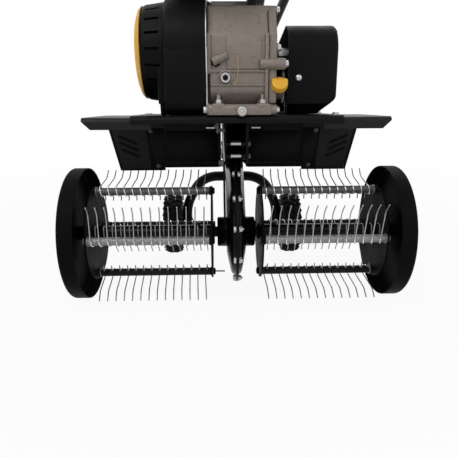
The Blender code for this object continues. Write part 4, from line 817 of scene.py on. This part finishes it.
def crankcase():
    """Cast block on its foot, with ribs, plugs, bosses and fasteners."""
    upper = [(-48, BASE + 17), (-66, BASE + 38), (-66, 350), (-34, 400), (52, 400), (82, 380), (82, BASE + 17)]
    notch = box((-60, -44.5), (-90, -40), (BASE + 19, 291))
    block = cut(rounded(slab(upper, -50, 52), 5, 3), notch)
    sole = [(-80, BASE), (-80, BASE + 13), (-76, BASE + 18), (101, BASE + 18), (101, BASE)]
    foot = rounded(slab(sole, -49, 57), 2.2, 2)
    ribs = [rounded(box((-44.5, 50), (-69, -60), (z - 1.6, z + 1.6)), 1.2) for z in (271, 293)]
    ribs.append(rounded(box((-50, -43), (-70, -58), (289, 352)), 2.2))
    ribs.append(rounded(box((46, 52), (-70, -58), (BASE + 14, 352)), 2.2))
    ribs.append(rounded(box((-18, 40), (-68.2, -60), (296, 350)), 1.6))
    for x in (-31.4, 42.8):
        ribs.append(rounded(box((x - 11, x + 11), (-80, -60), (BASE + 10, BASE + 19)), 2.5))
    lug = spun([(38, 0), (38, 8), (40, 9.2), (78, 9.2), (80, 8.4), (80, 0)], 36, (0, -66, 304))
    ear = aimed(spun([(0, 0), (0, 8.5), (26, 6), (27, 0)], 28), (-40, -66, 308), (0.8, -0.1, 0.35))
    ends = []
    for x0, x1 in ((-46, -52), (50, 66)):
        ends.append(spun([(x0, 0), (x0, 8.5), (x1, 8.2), (x1, 0)], 28, (0, -70, BASE + 8.6)))
    seat = spun([(-0.5, 0), (-0.5, 12.5), (3.5, 12), (4.2, 10.5), (4.2, 0)], 40)
    seats = [aimed(seat.copy(), (-19.6, -65.5, 282.4), (0, -1, 0)), aimed(seat, (7.5, -79.5, BASE + 6.5), (0, -1, 0))]
    about = Matrix.Translation((-7.5, 0, -BASE - 6.5))
    bmesh.ops.scale(seats[1], vec=(0.72, 1, 0.72), space=about, verts=seats[1].verts)
    whole = together(block, foot, lug, ear, *ribs, *ends, *seats)
    piece("crankcase_casting", whole, CAST, "body", "crankcase", crease=38)
    cover = [(-66, BASE + 18), (-66, 350), (-34, 399), (52, 399), (81, 379), (72, BASE + 18)]
    face = rounded(slab(cover, 52.4, 66), 3, 3)
    spout = [(-26, 0), (-26, 10), (-22, 11.5), (-3, 11.5), (-2, 13), (-0.3, 13), (-0.3, 8.6), (-12, 8.6), (-12, 0)]
    neck = filler(spun(spout, 36))
    seal = [(60, 0), (60, 40), (68, 38), (70, 35), (70, 18), (76, 17), (77, 15), (77, 10.5), (62, 10.5)]
    dome = spun(seal, 48, CRANK)
    places = ((-58, 330), (-30, 392), (50, 390), (72, 300), (66, 250))
    bosses = [spun([(50, 0), (50, 7.5), (68, 7), (68, 0)], 24, (0, y, z)) for y, z in places]
    piece("crankcase_cover", together(face, neck, dome, *bosses), CAST, "body", "side_cover", crease=38)
    heads = [bolt((68, y, z), (1, 0, 0), 10, 5, 7.5) for y, z in places]
    heads.append(bolt((80, -66, 304), (1, 0, 0), 10, 5, 7))
    for x in (-31.4, 42.8):
        heads += [bolt((x, -63, BASE + 18), (0, 0, 1), 13, 7, 9), stud((x, -63, BASE + 25), (0, 0, 1), 4, 9)]
        heads += [bolt((x, 92, BASE + 18), (0, 0, 1), 13, 7, 9), stud((x, 92, BASE + 25), (0, 0, 1), 4, 9)]
    heads += [bolt((x, -70, BASE + 8.6), (out, 0, 0), 10, 5, 6.5) for x, out in ((-52, -1), (66, 1))]
    piece("crankcase_bolts", together(*heads), BOLT, "body", crease=25)
    plug = spun([(0, 0), (0, 8.6), (3, 8.4), (3.8, 7.6), (3.8, 5.4), (0.6, 5.0), (0.6, 0)], 32)
    drain = spun([(0, 0), (0, 7.4), (2.4, 7.2), (3, 6.4), (3, 4.4), (1.2, 4.0), (1.2, 0)], 32)
    shapes = [aimed(plug, (-19.6, -69.5, 282.4), (0, -1, 0)), aimed(drain, (7.5, -82.8, BASE + 6.5), (0, -1, 0))]
    shapes.append(bolt((7.5, -83.6, BASE + 6.5), (0, -1, 0), 6, 1.6))
    piece("oil_plugs", together(*shapes), BOLT, "body", crease=30)
    # A dark hexagon in the oil plug's socket is painted shade in its hollow; the dark rings round the plug and the
    # drain bolt are seals whose black also paints the shade round their heads.
    socket = spun([(0, 0), (0, 4.8), (1.4, 4.8), (1.4, 0)], 6)
    rings = [spun([(0, 0), (0, r), (0.8, r), (0.8, 0)], 36) for r in (9.8, 8.3)]
    shades = [aimed(socket, (-19.6, -69.6, 282.4), (0, -1, 0)), aimed(rings[0], (-19.6, -69.2, 282.4), (0, -1, 0))]
    shades.append(aimed(rings[1], (7.5, -82.4, BASE + 6.5), (0, -1, 0)))
    piece("plug_seals_and_painted_shade", together(*shades), SHADE_FILL, "body", crease=30)
    stalk = spun([(0, 0), (0, 4.5), (8, 4.5), (8, 0)], 20, (-35.4, -70, 307), "Y")
    fitting = together(bolt((-35.4, -64, 307), (0, -1, 0), 14, 6), stalk)
    piece("pressure_switch", fitting, MOULDED, "body", crease=25)
    smear = bent([(-10, -66.4, 275), (-2, -66.6, 272.6), (1, -66.8, 284), (1.5, -68.4, 300), (0.5, -68.6, 318)], 6)
    piece("joint_sealant", pipe([smear], 1.3, 2), SEALANT, "body")
    flange = spun([(0.3, 0), (0.3, 13.2), (1.2, 14.1), (4.4, 14.1), (5.2, 13.4), (5.2, 0)], 40)
    paddle = [(-13.6, 6.4)] + arc((0, 0), 13.6, 180, 360, 20) + [(13.6, 6.4), (10, 7.6), (-10, 7.6)]
    grip = rounded(slab(paddle, 4, 12), 2.0, 3)
    thread = spun([(-11.6, 0), (-11.6, 7.8), (1, 7.8), (1, 0)], 24)
    piece("filler_cap", filler(together(flange, grip, thread)), YELLOW, "dipstick_cap", "dipstick")


def filler(bm):
    """Shapes drawn along +X, laid along the oil filler, which points forwards and up."""
    turn = Matrix.Rotation(math.radians(-30), 4, "X") @ Matrix.Rotation(-math.pi / 2, 4, "Z")
    bmesh.ops.transform(bm, matrix=Matrix.Translation((71, -60.5, 269.5)) @ turn, verts=bm.verts)
    return bm


def cooling():
    """Fan housing, recoil starter with its louvres and yellow rim."""
    x, y, z = CRANK
    housing = [(-50.6, 86), (-50.6, 92)] + [(-p.x, p.y) for p in corner((113, 83), 9, 90, 0)]
    housing += [(-122, 66), (-119.6, 66)] + [(-p.x, p.y) for p in corner((113, 83), 6.6, 0, 90)]
    housing += [(-52.5, 89.6), (-52.5, 86)]
    parts = [spun(housing, 72, CRANK, closed=True)]
    skirt = [(-52, BASE), (-66, BASE + 8), (-75, BASE + 24), (-78, BASE + 46), (-78, z)]
    skirt += [(70, z), (90, BASE + 40), (66, BASE)]
    parts.append(rounded(slab(skirt, -121, -52), 4, 3))
    piece("fan_housing", together(*parts), MOULDED, "body", "fan_shroud", crease=35)
    # The bright lip and strip along the fan housing's edge are a painted highlight.
    lip = spun([(-51.6, 84), (-51.6, 93.2), (-50.2, 93.2), (-50.2, 84)], 72, CRANK, closed=True)
    edge = rounded(box((-51.8, -49.6), (-72, -62), (BASE + 2, 330)), 0.6)
    piece("housing_edge_highlight", together(lip, edge), HIGHLIGHT_EDGE, "body")
    cover = [(-122.3, 84), (-146, 80.5)] + [(-p.x, p.y) for p in corner((150, 66), 14, 90, 0)]
    cover += [(-168, 58), (-171.5, 30), (-172, 0)]
    inner = [(-169, 0), (-166, 56), (-161.4, 64), (-150, 76.5), (-122.3, 80)]
    shell = spun(cover + inner, 72, CRANK)
    tools = []
    for i in range(20):
        tool = box((-152, -128), (-2.3, 2.3), (74, 90))
        turn = Matrix.Translation(CRANK) @ Matrix.Rotation(2 * math.pi * i / 20, 4, "X")
        bmesh.ops.transform(tool, matrix=turn, verts=tool.verts)
        tools.append(tool)
    shell = cut(shell, together(*tools))
    core = spun([(-123, 0), (-123, 70), (-156, 62), (-160, 0)], 40, CRANK)
    foot = rounded(slab([(-58, BASE + 40), (-30, BASE + 40), (-26, BASE), (-50, BASE)], -131, -120.5), 2)
    strap = rounded(slab([(-66, 300), (-30, 300), (-30, 240), (-60, 240)], -133, -120.5), 3)
    piece("recoil_shell", together(shell, core, foot, strap), MOULDED, "body", "recoil_cover", crease=32)
    band = [(-160.5, 75.6), (-164, 71), (-168.6, 60), (-170.4, 50)]
    band += [(-172, 50), (-171, 61), (-166.4, 73), (-161.4, 77.8)]
    piece("recoil_rim", spun(band, 72, CRANK, closed=True), YELLOW, "body")
    screws = []
    for i in range(4):
        at = Matrix.Rotation(math.pi / 2 * i + 0.6, 3, "X") @ Vector((0, 76.5, 0)) + Vector((-122.2, y, z))
        screws.append(bolt(at, (-1, 0, 0), 8, 6, 7))
    piece("recoil_bolts", together(*screws), BOLT, "body", crease=25)


def guard_shape(room, floor, left, right):
    """The belt guard's outline over both pulleys, cut back at the toe and along the lower right edge."""
    first, second = (14.0, 328.3), INPUT
    meet = math.degrees(math.atan2(second[0] - first[0], first[1] - second[1]))
    outline = [(-16 - room, floor + 18), (2 - room, floor), (288 + room, floor)]
    bm = slab(outline + arc(second, 38 + room, 0, meet, 14) + arc(first, 30 + room, meet, 180, 16), left, right)
    whole = bm.verts[:] + bm.edges[:] + bm.faces[:]
    place, facing = (right, 0, floor + 27), (27, 0, -31)
    cut_edges = bmesh.ops.bisect_plane(bm, geom=whole, plane_co=place, plane_no=facing, clear_outer=True)["geom_cut"]
    bmesh.ops.contextual_create(bm, geom=[e for e in cut_edges if isinstance(e, bmesh.types.BMEdge)])
    return bm


def belt_guard():
    """Moulded guard over the belt with soft edges, its screws and its stay on the deck."""
    outer = rounded(guard_shape(16, BASE, 90, 177), 7, 4, lambda e: min(v.co.x for v in e.verts) > 140)
    shell = cut(outer, guard_shape(13.5, BASE + 2.5, 80, 174.5))
    piece("belt_guard_shell", shell, MOULDED, "body", "belt_guard", crease=28)
    screws = [round_head((108.3, -32, 283.7), (0, -1, 0), 5.5, 3)]
    for y, z in ((-8, 360), (60, 340), (150, 318), (262, 312), (282, 258), (20, 258)):
        screws.append(round_head((176.6, y, z), (1, 0, 0), 4.5, 0.4))
    piece("belt_guard_screws", together(*screws), BOLT, "body", crease=25)
    stay = together(
        rounded(slab([(-30, 222.4), (-30, 246), (-24, 252), (-18, 246), (-18, 222.4)], 86, 89.6), 0.8),
        rounded(box((70, 89.6), (-30, -14), (222.4, 225.4)), 0.8),
    )
    piece("belt_guard_stay", stay, BLACK, "body")


def tilted(bm):
    turn = Matrix.Rotation(math.radians(25), 4, "X") @ Matrix.Rotation(math.pi / 2, 4, "Z")
    bmesh.ops.transform(bm, matrix=Matrix.Translation(CRANK) @ turn, verts=bm.verts)
    return bm


def cylinder():
    """Finned barrel and head leaning back, rocker cover and spark plug."""
    fins = []
    for i in range(10):
        x = 86 + i * 7.6
        fin = box((x, x + 2.2), (-49, 49), (-49, 49))
        fins.append(rounded(fin, 8, 3, lambda e: abs(e.verts[0].co.x - e.verts[1].co.x) > 1))
    core = spun([(58, 0), (58, 45), (84, 45), (84, 40), (163, 40), (163, 0)], 48)
    head = rounded(box((162, 178), (-33, 33), (-33, 33)), 7, 3)
    piece("cylinder_fins", tilted(together(core, head, *fins)), CAST, "body", "cylinder", crease=35)
    cover = rounded(box((178, 209), (-31, 31), (-26, 26)), 8, 4)
    piece("rocker_cover", tilted(cover), HOT_BLACK, "body", crease=35)
    studs = [tilted(bolt((177.6, y, z), (1, 0, 0), 10, 6, 7)) for y in (-29, 29) for z in (-29.5, 29.5)]
    plug = spun([(160, 0), (160, 6), (172, 6), (172, 8), (178, 8), (178, 4.5), (196, 4.5), (197, 0)], 20, (0, 20, 24))
    piece("head_bolts", together(*studs, tilted(plug)), BOLT, "body", crease=25)


def top_parts():
    """Tank with its seam and cap, air cleaner, silencer."""
    low, high = BASE + 232, BASE + 312
    tank = rounded(box((-118, 62), (-88, 52), (low, high)), 17, 5)
    stays = [rounded(box((-100, -86), (-28, 28), (415, low + 6)), 2)]
    stays.append(rounded(box((20, 34), (-26, 20), (398, low + 6)), 2))
    piece("tank_shell", together(tank, *stays), BLACK, "body", "fuel_tank", crease=40)
    piece("tank_seam", rounded_ring((-28, -18), (180.0, 140.0), 17, low + 34, low + 37.4), BLACK, "body")
    cap = [(0, 0), (0, 25.6), (3, 25.8), (13, 25.4), (16, 23.6), (17.4, 20), (17.8, 0)]
    ridges = rounded(box((2.5, 13), (-1.7, 1.7), (24.2, 26)), 0.8)
    lids = [spun(cap, 48)] + [copied(ridges, Matrix.Rotation(math.pi / 9 * i, 4, "X")) for i in range(18)]
    lids.append(rounded(box((15, 18), (-18, 18), (-4, 4)), 1.2))
    ridges.free()
    piece("tank_cap", aimed(together(*lids), (-30, -20, high + 0.3), (0, 0, 1)), MOULDED, "tank_cap", "fuel_cap")
    collar = spun([(0, 0), (0, 31), (0.9, 31), (1.2, 30), (1.2, 0)], 48)
    piece("tank_neck", aimed(collar, (-30, -20, high - 0.9), (0, 0, 1)), ZINC, "body")
    cleaner = rounded(box((-135, -45), (75, 165), (low + 4, high + 4)), 16, 4)
    ribs = [rounded(box((-126, -54), (90 + 12 * i, 94 + 12 * i), (high, high + 3.9)), 1.4) for i in range(6)]
    elbow = pipe([bent([(-84, 125, low + 12), (-72, 125, low - 22), (-40, 122, low - 40)], 26)], 15, 5)
    piece("air_cleaner_box", together(cleaner, *ribs, elbow), MOULDED, "body", "air_cleaner", crease=35)
    knob = spun([(0, 0), (0, 11), (4, 12), (9, 11), (10, 9), (10, 0)], 24)
    piece("air_cleaner_knob", aimed(knob, (-90, 75.6, high - 34), (0, -1, 0)), MOULDED, "body")
    can = rounded(box((2, 98), (77, 183), (low + 6, high + 2)), 14, 4)
    shield = rounded(box((0, 100), (75, 185), (low + 8, high + 4)), 15, 4)
    slots = [box((10, 90), (88 + 15 * i, 94 + 15 * i), (high - 4, high + 20)) for i in range(6)]
    slots += [box((90, 120), (88 + 15 * i, 94 + 15 * i), (low + 24, high - 22)) for i in range(6)]
    pocket = rounded(box((2.4, 97.6), (77.4, 182.6), (low, high + 1.6)), 13, 4)
    guard = cut(shield, pocket, together(*slots))
    legs = pipe([bent([(48, 125, low + 10), (50, 124, low - 18), (38, 118, low - 42)], 22)], 14, 5)
    tail = spun([(0, 7), (0, 9), (10, 9), (10, 7)], 28, closed=True)
    piece("silencer_can", together(can, legs), HOT_BLACK, "body", "silencer", crease=35)
    piece("silencer_guard", together(guard, aimed(tail, (50, 174.6, low + 30), (0, 1, 0))), BLACK, "body", crease=35)


def rounded_ring(centre, size, radius, lo, hi):
    """A narrow raised band round a box with round corners."""
    half_x, half_y = size[0] / 2 - radius, size[1] / 2 - radius
    outline = []
    for sx, sy, start in ((1, 1, 0), (-1, 1, 90), (-1, -1, 180), (1, -1, 270)):
        outline += arc((centre[0] + sx * half_x, centre[1] + sy * half_y), radius, start, start + 90, 8)
    return rounded(slab(outline, lo, hi, "Z"), 1.2)


# Handlebar


def handles():
    pivot_y, pivot_z = 320.0, 300.0
    right = [(30, pivot_y + 35, pivot_z + 30), (75, pivot_y + 50, pivot_z + 60), (270, 702, 750), (270, 899.6, 799.9)]
    left = [(-x, y, z) for x, y, z in reversed(right)]
    tube = pipe([bent(left + right, 60, 10)], 12.5, 5)
    stem = arc((pivot_y, pivot_z), 13, 135, 315, 16) + [(pivot_y + 42, pivot_z + 26), (pivot_y + 30, pivot_z + 36)]
    block = rounded(slab(stem, -17.2, 17.2), 1.4)
    block = cut(block, spun([(-30, 0), (-30, 5.6), (30, 5.6), (30, 0)], 24, (0, pivot_y, pivot_z)))
    parts = [tube, block]
    slope = Vector((0, 198, 50)).normalized()
    lever_y = 900 - 120 - 26
    bar_z = 800 - 50 * (900 - lever_y) / 198
    for side, drop in ((-1, -24), (1, 24)):
        lo, hi = sorted((bar_z, bar_z + drop * 1.4))
        parts.append(rounded(box((side * 270 - 4, side * 270 + 4), (lever_y - 9, lever_y + 9), (lo, hi)), 1.6))
        clamp = spun([(-11, 0), (-11, 15.4), (-10, 16), (10, 16), (11, 15.4), (11, 0)], 32)
        parts.append(aimed(clamp, (side * 270, lever_y, bar_z), slope))
    piece("handlebar_tube", together(*parts), BLACK, "handle", "handlebar", crease=40)
    ears = together(
        bolt((23.1, pivot_y, pivot_z), (1, 0, 0), 17, 6, 11), bolt((-23.1, pivot_y, pivot_z), (-1, 0, 0), 17, 6, 11),
        bolt((23.1, 296, 128), (1, 0, 0), 17, 6, 11), bolt((-23.1, 296, 128), (-1, 0, 0), 17, 6, 11),
    )
    piece("plate_bolts", ears, BOLT, "body", crease=25)
    for side, name in SIDES:
        profile = [(0, 12.8), (0, 16.6), (2, 17), (6, 17), (8, 16)]
        for i in range(9):
            x = 12 + 11 * i
            profile += [(x, 15.2), (x + 1.6, 16.8), (x + 6.4, 16.8), (x + 8, 15.2)]
        profile += [(113, 16), (115, 17), (118.6, 17), (120, 16.4), (120, 0)]
        end = Vector((side * 270, 900, 800))
        grip = spun(profile, 36)
        turn = slope.to_track_quat("X", "Z").to_matrix().to_4x4()
        bmesh.ops.transform(grip, matrix=Matrix.Translation(end - slope * 120) @ turn, verts=grip.verts)
        piece(f"{name}_hand_grip", grip, GRIP, "handle", f"{name}_grip", crease=40)
    clutch = [(-8, 7), (-8, -7), (30, -16), (112, -30), (122, -26), (30, -4)]
    throttle = [(-8, -7), (8, -7), (9, 10), (18, 42), (8, 42), (-8, 10)]
    for label, side, drop, outline, body in (
        ("clutch_lever", -1, -24, clutch, "clutch"),
        ("throttle_lever", 1, 24, throttle, "throttle"),
    ):
        x, z = side * 270, bar_z + drop
        plate = rounded(slab([(lever_y + a, z + b) for a, b in outline], x + 4.3, x + 10.3), 1.6, 3)
        pin = spun([(-4, 0), (-4, 3), (4.6, 3), (4.6, 0)], 20, (x, lever_y, z))
        head = bolt((x + 10.3, lever_y, z), (1, 0, 0), 8, 1.2)
        piece(f"{label}_blade", together(plate, pin, head), ZINC if side < 0 else MOULDED, body, label, crease=32)


tine_rows()
for side, name in SIDES:
    reel_ends(side, name)
    case_half(side, name)
case_bolts()
hood()
rods()
wheels()
crankcase()
cooling()
belt_guard()
cylinder()
top_parts()
handles()


# Stage


def seen_ray(tree):
    """A socket that is 1 for rays that see, reflect or refract, 0 for those that light."""
    path = node(tree, "ShaderNodeLightPath")
    seen = node(tree, "ShaderNodeMath", operation="MAXIMUM")
    clear = node(tree, "ShaderNodeMath", operation="MAXIMUM")
    tree.links.new(path.outputs["Is Camera Ray"], seen.inputs[0])
    tree.links.new(path.outputs["Is Glossy Ray"], seen.inputs[1])
    tree.links.new(seen.outputs["Value"], clear.inputs[0])
    tree.links.new(path.outputs["Is Transmission Ray"], clear.inputs[1])
    return clear.outputs["Value"]


def stage():
    """Pale floor, white surroundings, soft lamps and the camera."""
    bm = bmesh.new()
    bmesh.ops.create_grid(bm, x_segments=1, y_segments=1, size=8)
    mesh = bpy.data.meshes.new("floor")
    bm.to_mesh(mesh)
    bm.free()
    floor = bpy.data.objects.new("floor", mesh)
    bpy.context.collection.objects.link(floor)
    pale = bpy.data.materials.new("pale_floor")
    pale.use_nodes = True
    tree = pale.node_tree
    shader = tree.nodes["Principled BSDF"]
    shader.inputs["Base Color"].default_value = (0.7, 0.7, 0.7, 1)
    shader.inputs["Roughness"].default_value = 0.9
    glow = node(tree, "ShaderNodeEmission")
    glow.inputs["Strength"].default_value = 1.0
    place = node(tree, "ShaderNodeTexCoord")
    reach = node(tree, "ShaderNodeVectorMath", operation="LENGTH")
    fade = node(tree, "ShaderNodeMapRange")
    fade.inputs["From Min"].default_value = 0.4
    fade.inputs["From Max"].default_value = 2.2
    fade.inputs["To Min"].default_value = 0.93
    share = node(tree, "ShaderNodeMath", operation="MULTIPLY")
    mixed = node(tree, "ShaderNodeMixShader")
    tree.links.new(place.outputs["Object"], reach.inputs[0])
    tree.links.new(reach.outputs["Value"], fade.inputs["Value"])
    tree.links.new(fade.outputs["Result"], share.inputs[0])
    tree.links.new(seen_ray(tree), share.inputs[1])
    tree.links.new(share.outputs["Value"], mixed.inputs["Fac"])
    tree.links.new(shader.outputs["BSDF"], mixed.inputs[1])
    tree.links.new(glow.outputs["Emission"], mixed.inputs[2])
    tree.links.new(mixed.outputs["Shader"], tree.nodes["Material Output"].inputs["Surface"])
    mesh.materials.append(pale)

    world = bpy.data.worlds.new("studio")
    bpy.context.scene.world = world
    world.use_nodes = True
    tree = world.node_tree
    light = tree.nodes["Background"]
    light.inputs["Color"].default_value = (0.62, 0.63, 0.65, 1)
    light.inputs["Strength"].default_value = 0.5
    white = node(tree, "ShaderNodeBackground")
    mixed = node(tree, "ShaderNodeMixShader")
    tree.links.new(seen_ray(tree), mixed.inputs["Fac"])
    tree.links.new(light.outputs["Background"], mixed.inputs[1])
    tree.links.new(white.outputs["Background"], mixed.inputs[2])
    white.inputs["Color"].default_value = (1, 1, 1, 1)
    tree.links.new(mixed.outputs["Shader"], tree.nodes["World Output"].inputs["Surface"])

    for label, place, size, power in (
        ("key", (-1.2, -1.6, 2.2), 1.6, 34),
        ("fill", (1.6, -1.5, 1.2), 1.6, 12),
        ("back", (0.3, 1.8, 1.8), 1.4, 14),
    ):
        lamp = bpy.data.lights.new(label, "AREA")
        lamp.energy = power
        lamp.size = size
        obj = bpy.data.objects.new(label, lamp)
        obj.location = HUB + Vector(place)
        aim = HUB + Vector((0, 0.1, 0.1)) - obj.location
        obj.rotation_euler = aim.to_track_quat("-Z", "Y").to_euler()
        bpy.context.collection.objects.link(obj)

    yaw, pitch, roll = math.radians(-1.33), math.radians(14.95), math.radians(0.3)
    right = Vector((math.cos(yaw), math.sin(yaw), 0))
    level = Vector((-math.sin(yaw), math.cos(yaw), 0))
    forward = math.cos(pitch) * level - math.sin(pitch) * Vector((0, 0, 1))
    up = math.cos(pitch) * Vector((0, 0, 1)) + math.sin(pitch) * level
    lens = bpy.data.cameras.new("camera")
    lens.sensor_width = 36
    lens.lens = 36.5
    lens.clip_start = 0.01
    camera = bpy.data.objects.new("camera", lens)
    across = math.cos(roll) * right - math.sin(roll) * up
    upward = math.sin(roll) * right + math.cos(roll) * up
    camera.matrix_world = Matrix.Translation(HUB + Vector((-0.0337, -0.8762, 0.2388))) @ Matrix(
        (across, upward, -forward)
    ).transposed().to_4x4()
    bpy.context.collection.objects.link(camera)
    bpy.context.scene.camera = camera
    bpy.context.scene.view_settings.view_transform = "Standard"


stage()
bpy.context.view_layer.update()
